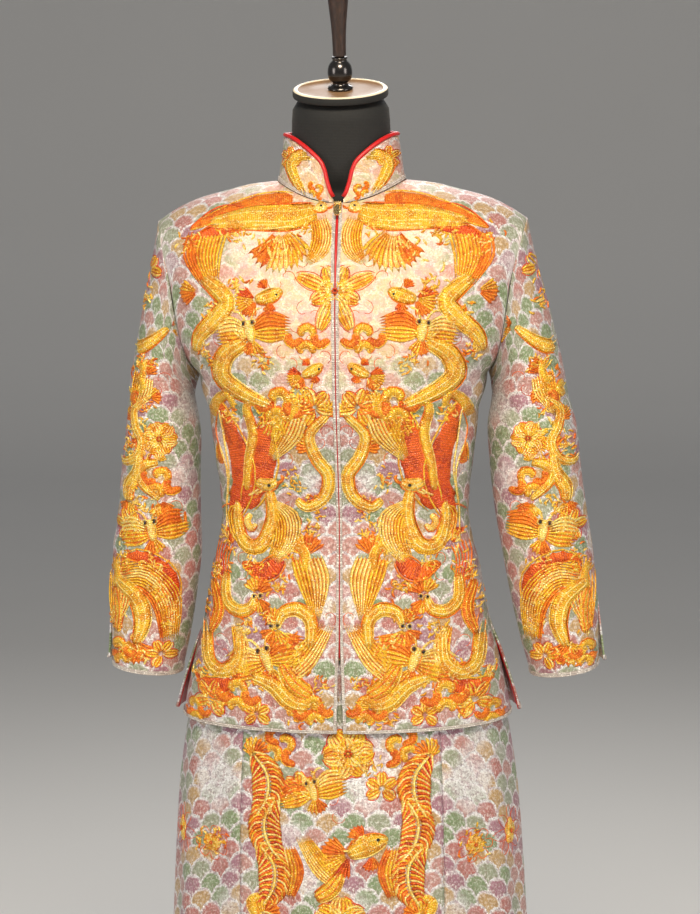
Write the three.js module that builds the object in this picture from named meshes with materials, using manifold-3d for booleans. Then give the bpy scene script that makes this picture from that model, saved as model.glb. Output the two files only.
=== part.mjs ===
// Two-piece Chinese wedding dress, a zipped jacket over a full-length skirt, on a limbless dress form.
// Millimetres. +X is the wearer's left, the front faces -Y, +Z is up, and z = 0 is the floor under the stand.
import * as THREE from 'three';
import { mergeVertices } from 'three/addons/utils/BufferGeometryUtils.js';
import Module from 'manifold-3d';

// Driving dimensions
const JACKET_WALL = 2;
const SKIRT_WALL = 1.8;
const COLLAR_WALL = 2.4;
const SEAM = 0.3;
const TRIM_LIFT = 0.3;
const TRIM_WALL = 0.8;
const TRIM_WIDTH = 7;
const PIPING_RADIUS = 2.2;
const ARMPIT_Z = 1152;
const TIP_X = 190;
const TIP_Z = 1311;
const NECK_X = 65;
const NECK_SIDE_Z = 1351;
const NECK_FRONT_Y = 56;
const NECK_BACK_Y = 52;
const NECK_BACK_RISE = 28;
const SHOULDER_ROLL = 140;
const ARMHOLE_DEPTH = 58;
const ARMHOLE_MID_Z = 1225;
const JACKET_HEM_Z = 795;
const SLIT_TOP_Z = 900;
const VENT_TOP_Z = 912;
const CUFF_Z = 846;
const CUFF_TILT = 6;
const SKIRT_TOP_Z = 1004;
const SKIRT_HEM_Z = 40;
const WAIST_TOP_Z = 1034;
const SQUARENESS = 0.8;
const SLEEVE_STEPS = 9;
const CAP_STEPS = 4;

// Jacket body: half-width, depth in front, depth behind, opening half-gap and side flare of the back at each height
const BODY = [
  { z: 795, half: 173, front: 114, back: 118, gap: 3.2, flare: 10 },
  { z: 818, half: 168.5, front: 113, back: 116, gap: 2.7, flare: 8.2 },
  { z: 860, half: 159, front: 109, back: 111, gap: 1.4, flare: 4 },
  { z: 900, half: 148.5, front: 104, back: 103, gap: 0.5, flare: 0 },
  { z: 944, half: 141.5, front: 97, back: 92, gap: 0.3, flare: 0 },
  { z: 1007, half: 129, front: 89, back: 79, gap: 0.3, flare: 0 },
  { z: 1070, half: 135, front: 101, back: 83, gap: 0.3, flare: 0 },
  { z: 1112, half: 141, front: 112, back: 89, gap: 0.3, flare: 0 },
  { z: 1152, half: 150, front: 119, back: 93, gap: 0.3, flare: 0 },
  { z: 1215, half: 150, front: 119, back: 97, gap: 0.3, flare: 0 },
  { z: 1300, half: 150, front: 108, back: 92, gap: 1.2, flare: 0 },
  { z: 1351, half: 150, front: 104, back: 88, gap: 0.8, flare: 0 },
];

// Armhole seam: distance from the centre line at each height
const ARMHOLE = [
  { z: 1152, x: 150 },
  { z: 1175, x: 160 },
  { z: 1215, x: 168 },
  { z: 1260, x: 176 },
  { z: 1300, x: 187 },
  { z: 1311, x: 190 },
];

// Shoulder line from the side of the neck to the shoulder tip
const SHOULDER = [
  { x: 65, z: 1351 },
  { x: 92, z: 1348 },
  { x: 121, z: 1341 },
  { x: 150, z: 1333 },
  { x: 175, z: 1321 },
  { x: 190, z: 1311 },
];

// Sleeves hang a little differently: centre, half-width and half-depth at each height
const SLEEVE_RIGHT = [
  { z: 846, x: -212, y: -19, half: 39.5, deep: 50 },
  { z: 881, x: -207, y: -17, half: 42.5, deep: 52 },
  { z: 923, x: -202.5, y: -15, half: 45.5, deep: 54 },
  { z: 965, x: -197.5, y: -12, half: 46, deep: 56 },
  { z: 1007, x: -195, y: -9, half: 43, deep: 57 },
  { z: 1049, x: -193, y: -6, half: 41, deep: 58 },
  { z: 1091, x: -190, y: -3, half: 38.8, deep: 58 },
  { z: 1128, x: -191, y: -1, half: 34, deep: 58 },
];
const SLEEVE_LEFT = [
  { z: 846, x: 232, y: -19, half: 39, deep: 50 },
  { z: 881, x: 225, y: -17, half: 42, deep: 52 },
  { z: 923, x: 217.5, y: -15, half: 44.5, deep: 54 },
  { z: 965, x: 211.5, y: -12, half: 46.5, deep: 56 },
  { z: 1007, x: 204.5, y: -9, half: 47.3, deep: 57 },
  { z: 1049, x: 199, y: -6, half: 47, deep: 58 },
  { z: 1091, x: 195.5, y: -3, half: 46.6, deep: 58 },
  { z: 1128, x: 193, y: -1, half: 39.5, deep: 58 },
];

// Standing collar: height above the neck seam at each angle from the front centre
const COLLAR = [
  { angle: 4.5, height: 3 },
  { angle: 8.6, height: 10.5 },
  { angle: 13.3, height: 28 },
  { angle: 17, height: 35.5 },
  { angle: 24.6, height: 41 },
  { angle: 37, height: 45.5 },
  { angle: 50, height: 47 },
  { angle: 90, height: 43.5 },
  { angle: 180, height: 43 },
];
const COLLAR_LEAN = 0.1;

// Skirt: half-width, depths, centre panel half-width and pleat depth at each height
const SKIRT = [
  { z: 40, half: 214, front: 152, back: 158, panel: 114, fold: 9 },
  { z: 300, half: 203, front: 142, back: 147, panel: 110, fold: 8 },
  { z: 500, half: 193, front: 134, back: 138, panel: 107, fold: 6.5 },
  { z: 629, half: 186, front: 127, back: 130, panel: 105, fold: 5 },
  { z: 713, half: 180, front: 120, back: 123, panel: 104, fold: 3.5 },
  { z: 776, half: 171, front: 111, back: 115, panel: 102, fold: 1.5 },
  { z: 818, half: 162.5, front: 106.5, back: 109.5, panel: 98, fold: 0.6 },
  { z: 860, half: 152.5, front: 102.5, back: 104.5, panel: 93, fold: 0 },
  { z: 900, half: 142, front: 97.5, back: 96.5, panel: 88, fold: 0 },
  { z: 944, half: 135, front: 90.5, back: 85.5, panel: 84, fold: 0 },
  { z: 1010, half: 122, front: 82, back: 72, panel: 78, fold: 0 },
];

// Raised embroidery on each front and mirrored on the other: centre, half-sizes, turn in degrees and height
const MOTIFS = [
  { x: 62, z: 1318, across: 34, along: 15, turn: 10, height: 1.6 },
  { x: 128, z: 1290, across: 24, along: 34, turn: 25, height: 1.5 },
  { x: 88, z: 1225, across: 26, along: 30, turn: 0, height: 1.3 },
  { x: 40, z: 1268, across: 20, along: 26, turn: -20, height: 1.4 },
  { x: 98, z: 1168, across: 40, along: 18, turn: -35, height: 1.7 },
  { x: 92, z: 1070, across: 26, along: 52, turn: 8, height: 2 },
  { x: 78, z: 1000, across: 30, along: 44, turn: -12, height: 2.2 },
  { x: 30, z: 1040, across: 12, along: 34, turn: 0, height: 1.2 },
  { x: 40, z: 925, across: 26, along: 26, turn: 0, height: 1.5 },
  { x: 96, z: 884, across: 44, along: 30, turn: 20, height: 2 },
  { x: 50, z: 842, across: 34, along: 18, turn: -12, height: 1.6 },
];
const SKIRT_MOTIFS = [
  { x: 0, z: 745, across: 26, along: 22, turn: 0, height: 1.5 },
  { x: -84, z: 640, across: 18, along: 70, turn: 0, height: 1.8 },
  { x: 84, z: 640, across: 18, along: 70, turn: 0, height: 1.8 },
  { x: 0, z: 600, across: 34, along: 30, turn: 0, height: 1.4 },
];
const SLEEVE_MOTIFS = [
  { x: 62, z: 1180, across: 40, along: 40, turn: 0, height: 1.5 },
  { x: 50, z: 1040, across: 40, along: 46, turn: 0, height: 1.6 },
  { x: 70, z: 905, across: 46, along: 44, turn: 0, height: 2 },
];

// Dress form: neck rings above the shoulders and the plain hidden stand
const NECK_RINGS = [
  { z: 1344, half: 58, deep: 40, y: 0 },
  { z: 1354, half: 55.5, deep: 44, y: 0 },
  { z: 1365, half: 53.5, deep: 45, y: -1 },
  { z: 1385, half: 51.5, deep: 45, y: -2 },
  { z: 1412, half: 50.5, deep: 46, y: -4 },
];
const FORM_BOTTOM_Z = 760;
const FORM_CLEAR = 1.35;
const CHEST_CLEAR = 5.2;
const BACK_CLEAR = 9;
const SHOULDER_DROP = 5.9;
const NECK_FROM_Z = 1310;
const NECK_HALF = 57;
const NECK_DEEP = 39;
const NECK_TOP_Z = 1436;
const NECK_TOP_RADIUS = 50.5;
const CAP_TILT = THREE.MathUtils.degToRad(13);
const CAP_RADIUS = 49;
const CAP_HEIGHT = 9;
const POLE_RADIUS = 14;
const BASE_RADIUS = 150;
const BASE_HEIGHT = 14;
const STAND_LIFT = 12;

// Zip slider and pull
const SLIDER_Z = 1323;
const SLIDER_TILT = THREE.MathUtils.degToRad(40);
const PIN_RADIUS = 0.7;
const EYE_RADIUS = 1.05;
const SLIDER_LIFT = TRIM_LIFT + TRIM_WALL + 0.6;
const PULL_LEAN = THREE.MathUtils.degToRad(8);

// Smooth reading of a table between its rows
function read(rows, key, at, column) {
  const ascending = rows[0][key] < rows[rows.length - 1][key];
  const list = ascending ? rows : [...rows].reverse();
  const last = list.length - 1;
  if (at <= list[0][key]) return list[0][column];
  if (at >= list[last][key]) return list[last][column];
  let i = 0;
  while (at > list[i + 1][key]) i += 1;
  const slope = (k) => (list[k + 1][column] - list[k][column]) / (list[k + 1][key] - list[k][key]);
  const knot = (k) => {
    if (k === 0) return slope(0);
    if (k === last) return slope(last - 1);
    const before = slope(k - 1);
    const after = slope(k);
    return before * after <= 0 ? 0 : (2 * before * after) / (before + after);
  };
  const span = list[i + 1][key] - list[i][key];
  const t = (at - list[i][key]) / span;
  const t2 = t * t;
  const t3 = t2 * t;
  return (2 * t3 - 3 * t2 + 1) * list[i][column] + (t3 - 2 * t2 + t) * span * knot(i)
    + (3 * t2 - 2 * t3) * list[i + 1][column] + (t3 - t2) * span * knot(i + 1);
}

const lerp = (a, b, t) => a + (b - a) * t;
const steps = (count) => Array.from({ length: count + 1 }, (_, i) => i / count);

// Raise of the embroidery over a point
function raised(motifs, x, z) {
  let most = 0;
  for (const m of motifs) {
    const turn = THREE.MathUtils.degToRad(m.turn);
    const dx = x - m.x;
    const dz = z - m.z;
    const a = (dx * Math.cos(turn) + dz * Math.sin(turn)) / m.across;
    const b = (dz * Math.cos(turn) - dx * Math.sin(turn)) / m.along;
    const inside = 1 - a * a - b * b;
    if (inside > 0) most = Math.max(most, m.height * Math.sqrt(inside));
  }
  return most;
}

// Normals of a grid by the differences between its neighbours
function gridNormals(points, outward, closed = false) {
  const nu = points.length;
  const nv = points[0].length;
  return points.map((row, i) => row.map((p, j) => {
    const before = closed ? points[(i + nu - 1) % nu][j] : points[Math.max(i - 1, 0)][j];
    const after = closed ? points[(i + 1) % nu][j] : points[Math.min(i + 1, nu - 1)][j];
    const du = after.clone().sub(before);
    const dv = row[Math.min(j + 1, nv - 1)].clone().sub(row[Math.max(j - 1, 0)]);
    const n = du.cross(dv).normalize();
    return n.dot(outward(p)) < 0 ? n.negate() : n;
  }));
}

// Closed body between two grids of points
function bodyBetween(outer, inner, closed = false) {
  const nu = outer.length;
  const nv = outer[0].length;
  const position = [];
  for (const grid of [outer, inner]) {
    for (const row of grid) for (const p of row) position.push(p.x, p.y, p.z);
  }
  const at = (side, i, j) => side * nu * nv + (i % nu) * nv + j;
  const index = [];
  const quad = (a, b, c, d) => index.push(a, b, c, a, c, d);
  const cells = closed ? nu : nu - 1;
  for (let i = 0; i < cells; i += 1) {
    for (let j = 0; j < nv - 1; j += 1) {
      quad(at(0, i, j), at(0, i + 1, j), at(0, i + 1, j + 1), at(0, i, j + 1));
      quad(at(1, i, j), at(1, i, j + 1), at(1, i + 1, j + 1), at(1, i + 1, j));
    }
    quad(at(0, i, 0), at(1, i, 0), at(1, i + 1, 0), at(0, i + 1, 0));
    quad(at(0, i, nv - 1), at(0, i + 1, nv - 1), at(1, i + 1, nv - 1), at(1, i, nv - 1));
  }
  if (!closed) {
    for (let j = 0; j < nv - 1; j += 1) {
      quad(at(0, 0, j), at(0, 0, j + 1), at(1, 0, j + 1), at(1, 0, j));
      quad(at(0, nu - 1, j), at(1, nu - 1, j), at(1, nu - 1, j + 1), at(0, nu - 1, j + 1));
    }
  }
  const geometry = new THREE.BufferGeometry();
  geometry.setAttribute('position', new THREE.Float32BufferAttribute(position, 3));
  geometry.setIndex(index);
  return facingOut(geometry);
}

// Turns a body's faces outward by the sign of its volume
function facingOut(geometry) {
  const p = geometry.attributes.position;
  const index = geometry.index.array;
  const corner = (i) => new THREE.Vector3().fromBufferAttribute(p, index[i]);
  let volume = 0;
  for (let i = 0; i < index.length; i += 3) {
    volume += corner(i).dot(corner(i + 1).cross(corner(i + 2)));
  }
  if (volume < 0) {
    for (let i = 0; i < index.length; i += 3) {
      [index[i + 1], index[i + 2]] = [index[i + 2], index[i + 1]];
    }
  }
  geometry.computeVertexNormals();
  return geometry;
}

// A cloth sheet: its plain surface, its inward direction at each point, and the surface with the embroidery raised
class Sheet {
  constructor(points, normals, motifs = [], keepFlat = () => false, mapX = (p) => Math.abs(p.x)) {
    this.plain = points;
    this.normals = normals;
    this.face = points.map((row, i) => row.map((p, j) => {
      const lift = keepFlat(i, j) ? 0 : raised(motifs, mapX(p), p.z);
      return p.clone().addScaledVector(normals[i][j], lift);
    }));
  }

  wall(thickness, closed = false) {
    return bodyBetween(this.face, this.moved(-thickness), closed);
  }

  moved(distance) {
    return this.plain.map((row, i) => row.map((p, j) => p.clone().addScaledVector(this.normals[i][j], distance)));
  }
}

// Part of a grid, its border pulled in along its own lines, so that neighbours keep their seam
function strip(points, iFrom, iTo, jFrom, jTo, inset = 0) {
  const pull = (a, b, amount) => a.clone().addScaledVector(b.clone().sub(a).normalize(), amount);
  const part = points.slice(iFrom, iTo + 1).map((row) => row.slice(jFrom, jTo + 1));
  if (inset === 0) return part;
  const last = part.length - 1;
  const end = part[0].length - 1;
  return part.map((row, i) => row.map((p, j) => {
    let q = p;
    if (i === 0) q = pull(q, part[1][j], inset);
    if (i === last) q = pull(q, part[last - 1][j], inset);
    if (j === 0) q = pull(q, part[i][1], inset);
    if (j === end) q = pull(q, part[i][end - 1], inset);
    return q;
  }));
}

// Trim lying on a sheet
function trimOn(sheet, iFrom, iTo, jFrom, jTo, lift = TRIM_LIFT, wall = TRIM_WALL) {
  const low = strip(sheet.moved(lift), iFrom, iTo, jFrom, jTo, SEAM / 2);
  const high = strip(sheet.moved(lift + wall), iFrom, iTo, jFrom, jTo, SEAM / 2);
  return bodyBetween(high, low);
}

const shoulderZ = (x) => (x >= NECK_X ? read(SHOULDER, 'x', x, 'z') : NECK_SIDE_Z);
const squared = (value) => Math.max(value, 0) ** SQUARENESS;
const rollAt = (x, z, crest) => {
  const t = THREE.MathUtils.clamp((crest - z) / SHOULDER_ROLL, 0, 1);
  return Math.sqrt(1 - (1 - t) ** 2);
};

// Height of the surface's crest over a point: the shoulder line, and behind the neck a little above it
function crestZ(x, front) {
  const rise = front || x >= NECK_X ? 0 : NECK_BACK_RISE * (1 - (x / NECK_X) ** 2);
  return shoulderZ(x) + rise;
}

// Armhole seam at an angle that runs from 0 at the shoulder tip to a half turn at the armpit
function armholePoint(angle, front) {
  const above = Math.cos(angle) > 0;
  const reach = above ? TIP_Z - ARMHOLE_MID_Z : ARMHOLE_MID_Z - ARMPIT_Z;
  const z = ARMHOLE_MID_Z + reach * Math.cos(angle);
  const side = front ? -1 : 1;
  return new THREE.Vector3(read(ARMHOLE, 'z', z, 'x'), side * ARMHOLE_DEPTH * Math.sin(angle), z);
}

// The rim at the armhole leans between the body's and the sleeve's own directions
function armholeNormal(angle, front) {
  const side = front ? -1 : 1;
  const lean = 0.25 * (1 + Math.cos(angle));
  return new THREE.Vector3(lean, side * Math.sin(angle), 0.9 * Math.cos(angle)).normalize();
}

// Half-width of the body's full oval above the armpit, so that it passes through the armhole seam
function ovalHalf(z, front) {
  if (z <= ARMPIT_Z) return read(BODY, 'z', z, 'half');
  const height = Math.min(z, TIP_Z - 1);
  const reach = height > ARMHOLE_MID_Z ? TIP_Z - ARMHOLE_MID_Z : ARMHOLE_MID_Z - ARMPIT_Z;
  const seamX = read(ARMHOLE, 'z', height, 'x');
  const seamY = ARMHOLE_DEPTH * Math.sqrt(1 - ((height - ARMHOLE_MID_Z) / reach) ** 2);
  const depth = read(BODY, 'z', height, front ? 'front' : 'back') * rollAt(seamX, height, crestZ(seamX, front));
  const cosine = Math.min(seamY / depth, 0.95) ** (1 / SQUARENESS);
  return seamX / Math.sqrt(1 - cosine * cosine);
}

// Depth of the body's surface at a distance from the centre line and a height
function bodyDepth(x, z, front, spare = 0, drop = 0) {
  const half = ovalHalf(z, front);
  const cosine = Math.sqrt(Math.max(1 - (x / half) ** 2, 0));
  const depth = read(BODY, 'z', z, front ? 'front' : 'back') - spare;
  return depth * squared(cosine) * rollAt(x, z, crestZ(x, front) - drop);
}

// Neck seam: height over a distance from the centre line
function neckZ(x, front) {
  const reach = front ? NECK_FRONT_Y : NECK_BACK_Y;
  const wanted = reach * Math.sqrt(Math.max(1 - (x / NECK_X) ** 2, 0));
  const depth = read(BODY, 'z', NECK_SIDE_Z, front ? 'front' : 'back');
  const roll = Math.min(wanted / depth, 1);
  return crestZ(x, front) - SHOULDER_ROLL * (1 - Math.sqrt(1 - roll * roll));
}

// Columns across a half of the body, by their distance from the centre line at the shoulder
const COLUMNS = [0, TRIM_WIDTH, 18, 32, 46, 57, NECK_X, 90, 115, 138, 158, 173, 184, TIP_X];
const NECK_COLUMN = COLUMNS.indexOf(NECK_X);
const LOWER_ROWS = [JACKET_HEM_Z, JACKET_HEM_Z + TRIM_WIDTH, 835, 868, SLIT_TOP_Z, 938, 975, 1012, 1050, 1088,
  1123];
const SLIT_ROW = LOWER_ROWS.indexOf(SLIT_TOP_Z);
const ARMHOLE_TURNS = steps(SLEEVE_STEPS).map((s) => Math.PI * (1 - s));
const UPPER_ROWS = ARMHOLE_TURNS.map((turn) => armholePoint(turn, true).z);
const HEIGHTS = [...LOWER_ROWS, ...UPPER_ROWS];

// One half of the body surface on the wearer's left, front or back
function bodyHalf(front) {
  const side = front ? -1 : 1;
  const points = COLUMNS.map((shoulderX, i) => {
    const part = shoulderX / TIP_X;
    const edge = i === COLUMNS.length - 1;
    const top = shoulderX < NECK_X ? neckZ(shoulderX, front) : shoulderZ(shoulderX);
    return HEIGHTS.map((level, j) => {
      const share = (level - ARMPIT_Z) / (TIP_Z - ARMPIT_Z);
      const z = level <= ARMPIT_Z ? level : ARMPIT_Z + share * (top - ARMPIT_Z);
      const flare = front ? 0 : read(BODY, 'z', z, 'flare') * part ** 6;
      const reach = z <= ARMPIT_Z ? read(BODY, 'z', z, 'half') : read(ARMHOLE, 'z', z, 'x');
      const gap = front ? read(BODY, 'z', z, 'gap') : 0;
      let x = part * reach;
      if (i === 0) x = gap;
      if (i === 1) x = TRIM_WIDTH + gap;
      if (edge && level > ARMPIT_Z) {
        const seam = armholePoint(ARMHOLE_TURNS[j - LOWER_ROWS.length], front);
        seam.y += side * SEAM / 2;
        return seam;
      }
      const depth = edge ? 0 : bodyDepth(x, z, front);
      return new THREE.Vector3(x + flare, side * (depth + SEAM / 2), z);
    });
  });
  const heart = (p) => p.clone().sub(new THREE.Vector3(0, 0, Math.min(p.z, 1200)));
  const normals = gridNormals(points, heart);
  const last = COLUMNS.length - 1;
  const turn = (n, x, y, z) => n.multiply(new THREE.Vector3(x, y, z)).normalize();
  HEIGHTS.forEach((level, j) => {
    turn(normals[0][j], 0, 1, 1);
    if (level < ARMPIT_Z) normals[last][j].set(1, 0, 0);
    else normals[last][j].copy(armholeNormal(ARMHOLE_TURNS[j - LOWER_ROWS.length], front));
  });
  COLUMNS.forEach((x, i) => {
    if (x >= NECK_X && i < last) turn(normals[i][HEIGHTS.length - 1], 1, 0, 1);
  });
  return { points, normals };
}

const mirrored = (grid) => grid.map((row) => row.map((p) => new THREE.Vector3(-p.x, p.y, p.z)));
const fronts = bodyHalf(true);
const backs = bodyHalf(false);
const atTrim = (i, j) => i < 2 || j < 2;
const frontLeft = new Sheet(fronts.points, fronts.normals, MOTIFS, atTrim);
const frontRight = new Sheet(mirrored(fronts.points), mirrored(fronts.normals), MOTIFS, atTrim);
const backPoints = [...mirrored(backs.points).slice(1).reverse(), ...backs.points];
const backNormals = [...mirrored(backs.normals).slice(1).reverse(), ...backs.normals];
const back = new Sheet(backPoints, backNormals, MOTIFS, (i, j) => j < 2);

// Sleeve: from the armhole seam over the cap to level rings and down to the cuff
const RING_LEVELS = [1128, 1092, 1052, 1012, 974, 942, VENT_TOP_Z, 884, CUFF_Z + TRIM_WIDTH, CUFF_Z];
const VENT_RING = RING_LEVELS.indexOf(VENT_TOP_Z);

function ringPoint(rows, side, angle, level, front) {
  const half = read(rows, 'z', level, 'half');
  const turn = front ? -1 : 1;
  const drop = (RING_LEVELS[0] - level) / (RING_LEVELS[0] - CUFF_Z);
  const vent = Math.max((VENT_TOP_Z - level) / (VENT_TOP_Z - CUFF_Z), 0);
  const open = front ? vent * 7 * Math.max(Math.cos(angle), 0) ** 3 : 0;
  return new THREE.Vector3(
    read(rows, 'z', level, 'x') + side * (half * Math.cos(angle) - open),
    read(rows, 'z', level, 'y') + turn * (read(rows, 'z', level, 'deep') * Math.sin(angle) + SEAM / 2 + open * 0.3),
    level + CUFF_TILT * drop * Math.cos(angle),
  );
}

function sleeveSheet(rows, side, front) {
  const angles = steps(SLEEVE_STEPS).map((s) => s * Math.PI);
  const turn = front ? -1 : 1;
  const points = angles.map((angle) => {
    const start = armholePoint(angle, front);
    start.set(side * (start.x + SEAM * 1.2), start.y + turn * SEAM / 2, start.z);
    const end = ringPoint(rows, side, angle, RING_LEVELS[0], front);
    const length = start.distanceTo(end);
    const outer = Math.max(Math.cos(angle), 0);
    const out = new THREE.Vector3(side * (0.4 - 0.25 * outer), -0.1 * turn * Math.sin(angle), -1);
    out.normalize().multiplyScalar(0.55 * length);
    const down = new THREE.Vector3(side * 0.12 * outer, 0, -1).multiplyScalar(0.9 * length);
    const cap = steps(CAP_STEPS).slice(0, CAP_STEPS).map((t) => {
      const t2 = t * t;
      const t3 = t2 * t;
      return new THREE.Vector3()
        .addScaledVector(start, 2 * t3 - 3 * t2 + 1)
        .addScaledVector(out, t3 - 2 * t2 + t)
        .addScaledVector(end, 3 * t2 - 2 * t3)
        .addScaledVector(down, t3 - t2);
    });
    return [...cap, ...RING_LEVELS.map((level) => ringPoint(rows, side, angle, level, front))];
  });
  const middle = (p) => {
    const level = Math.min(p.z, RING_LEVELS[0]);
    const centre = new THREE.Vector3(read(rows, 'z', level, 'x'), read(rows, 'z', level, 'y'), p.z);
    if (p.z > RING_LEVELS[0]) centre.set(side * 165, 0, Math.min(p.z, ARMHOLE_MID_Z));
    return p.clone().sub(centre);
  };
  const normals = gridNormals(points, middle);
  angles.forEach((angle, i) => {
    const rim = armholeNormal(angle, front);
    normals[i][0].set(side * rim.x, rim.y, rim.z);
    for (let j = 1; j < points[0].length; j += 1) {
      if (i === 0) normals[i][j].multiply(new THREE.Vector3(1, 0, 1)).normalize();
      if (i === angles.length - 1) normals[i][j].set(-side, 0, 0);
    }
  });
  const mapX = (p) => Math.abs(Math.abs(p.x) - 165) + 20;
  const flat = (i, j) => j === 0 || j > points[0].length - 3 || i === 0 || i > angles.length - 4;
  return new Sheet(points, normals, SLEEVE_MOTIFS, flat, mapX);
}

const sleeves = {
  sleeve_left_front: sleeveSheet(SLEEVE_LEFT, 1, true),
  sleeve_left_back: sleeveSheet(SLEEVE_LEFT, 1, false),
  sleeve_right_front: sleeveSheet(SLEEVE_RIGHT, -1, true),
  sleeve_right_back: sleeveSheet(SLEEVE_RIGHT, -1, false),
};

const COLLAR_COLUMNS = [5.2, 7.5, 10, 14, 18, 25, 32, 46, 57, NECK_X];

// Collar: stands on the neck seam, open in a narrow V at the front
function collarSheet() {
  const seamPoint = (x, front) => {
    const reach = front ? NECK_FRONT_Y : NECK_BACK_Y;
    const y = (front ? -1 : 1) * reach * Math.sqrt(Math.max(1 - (x / NECK_X) ** 2, 0));
    return new THREE.Vector3(x, y, neckZ(x, front) + SEAM + 0.2);
  };
  const onSeam = (x) => {
    const after = COLUMNS.findIndex((column) => column >= x);
    const share = (x - COLUMNS[after - 1]) / (COLUMNS[after] - COLUMNS[after - 1]);
    return seamPoint(COLUMNS[after - 1], true).lerp(seamPoint(COLUMNS[after], true), share);
  };
  const behind = COLUMNS.slice(0, NECK_COLUMN).reverse();
  const left = [...COLLAR_COLUMNS.map(onSeam), ...behind.map((x) => seamPoint(x, false))];
  const ring = [...left, ...left.slice(0, -1).reverse().map((p) => new THREE.Vector3(-p.x, p.y, p.z))];
  const rises = [0, 0.14, 0.4, 0.7, 1];
  const points = ring.map((p) => {
    const angle = THREE.MathUtils.radToDeg(Math.atan2(Math.abs(p.x) / NECK_X, -p.y / NECK_FRONT_Y));
    const height = read(COLLAR, 'angle', angle, 'height');
    return rises.map((rise) => {
      const shrink = 1 - COLLAR_LEAN * rise * height / 48;
      return new THREE.Vector3(p.x * shrink, p.y * shrink, p.z + rise * height);
    });
  });
  const normals = gridNormals(points, (p) => new THREE.Vector3(p.x, p.y, 0));
  for (const end of [0, points.length - 1]) {
    for (const n of normals[end]) n.set(0, -1, 0);
  }
  normals.forEach((row) => row[0].setZ(0).normalize());
  return new Sheet(points, normals);
}
const collar = collarSheet();

// Round piping along the collar's front edges and top
function collarPiping() {
  const top = collar.plain.map((row, i) => {
    const p = row[row.length - 1].clone();
    return p.addScaledVector(collar.normals[i][row.length - 1], -COLLAR_WALL / 2);
  });
  const lifted = top.map((p, i) => {
    const before = top[Math.max(i - 1, 0)];
    const after = top[Math.min(i + 1, top.length - 1)];
    const along = after.clone().sub(before).normalize();
    const up = new THREE.Vector3(0, 0, 1).addScaledVector(along, -along.z).normalize();
    return p.clone().addScaledVector(up, PIPING_RADIUS + SEAM + 0.3);
  });
  const path = new THREE.CatmullRomCurve3(lifted);
  const round = new THREE.Shape();
  round.absarc(0, 0, PIPING_RADIUS, 0, Math.PI * 2);
  return new THREE.ExtrudeGeometry(round, {
    extrudePath: path, steps: 40, curveSegments: 5, bevelEnabled: false,
  });
}

// Skirt: a point at an angle from the front centre, with soft pleats in the side panels
function skirtPoint(angle, z, folded = true) {
  const facing = Math.cos(angle) >= 0;
  const column = facing ? 'front' : 'back';
  const half = read(SKIRT, 'z', z, 'half');
  const x = half * Math.sin(angle);
  const y = (facing ? -1 : 1) * read(SKIRT, 'z', z, column) * squared(Math.abs(Math.cos(angle)));
  const panelEdge = Math.asin(Math.min(read(SKIRT, 'z', z, 'panel') / half, 0.95));
  const across = (Math.min(angle, Math.PI - angle) - panelEdge) / (Math.PI / 2 - panelEdge);
  const wave = across > 0 ? Math.cos(across * Math.PI * 4) * 0.5 - 0.5 : 0;
  const out = new THREE.Vector3(x / half, y / half, 0).normalize();
  return new THREE.Vector3(x, y, z).addScaledVector(out, folded ? wave * read(SKIRT, 'z', z, 'fold') : 0);
}

const SKIRT_ROWS = [SKIRT_HEM_Z, SKIRT_HEM_Z + 9, 160, 280, 400, 500, 590, 670, 740, 790, 840, 890, 945, SKIRT_TOP_Z];

function skirtSheet(facing) {
  const count = facing === 'side' ? 16 : 8;
  const points = steps(count).map((s) => SKIRT_ROWS.map((z) => {
    const half = read(SKIRT, 'z', z, 'half');
    const edge = Math.asin(read(SKIRT, 'z', z, 'panel') / half);
    const gap = SEAM * 0.7 / half;
    if (facing === 'side') return skirtPoint(lerp(edge + gap, Math.PI - edge - gap, s), z);
    const turn = lerp(-edge + gap, edge - gap, s);
    const p = skirtPoint(Math.abs(turn), z);
    return new THREE.Vector3(Math.sign(turn) * p.x, facing === 'front' ? p.y : backY(Math.abs(turn), z), z);
  }));
  const normals = gridNormals(points, (p) => new THREE.Vector3(p.x, p.y, 0));
  for (const i of [0, count]) {
    normals[i].forEach((n, j) => n.set(points[i][j].x, points[i][j].y * 1.6, 0).normalize());
  }
  const flat = (i, j) => i < 2 || i > count - 2 || j < 2 || facing === 'side';
  const map = (p) => p.x;
  return new Sheet(points, normals, SKIRT_MOTIFS, flat, map);
}

const backY = (angle, z) => skirtPoint(Math.PI - angle, z).y;

const skirtSide = skirtSheet('side');
const skirts = {
  skirt_front: skirtSheet('front'),
  skirt_back: skirtSheet('back'),
  skirt_side_left: skirtSide,
  skirt_side_right: new Sheet(mirrored(skirtSide.plain), mirrored(skirtSide.normals)),
};

// Waistband: a plain band above the skirt panels
function waistband() {
  const levels = [SKIRT_TOP_Z + SEAM, SKIRT_TOP_Z + 14, SKIRT_TOP_Z + 28];
  const ring = (shrink) => Array.from({ length: 40 }, (_, i) => levels.map((z) => {
    const angle = i / 40 * Math.PI * 2;
    const folded = angle > Math.PI ? Math.PI * 2 - angle : angle;
    const p = skirtPoint(folded, SKIRT_TOP_Z, false);
    const out = new THREE.Vector3(p.x, p.y, 0).normalize();
    p.addScaledVector(out, -shrink);
    return new THREE.Vector3(angle > Math.PI ? -p.x : p.x, p.y, z);
  }));
  return bodyBetween(ring(0), ring(2), true);
}

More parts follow.
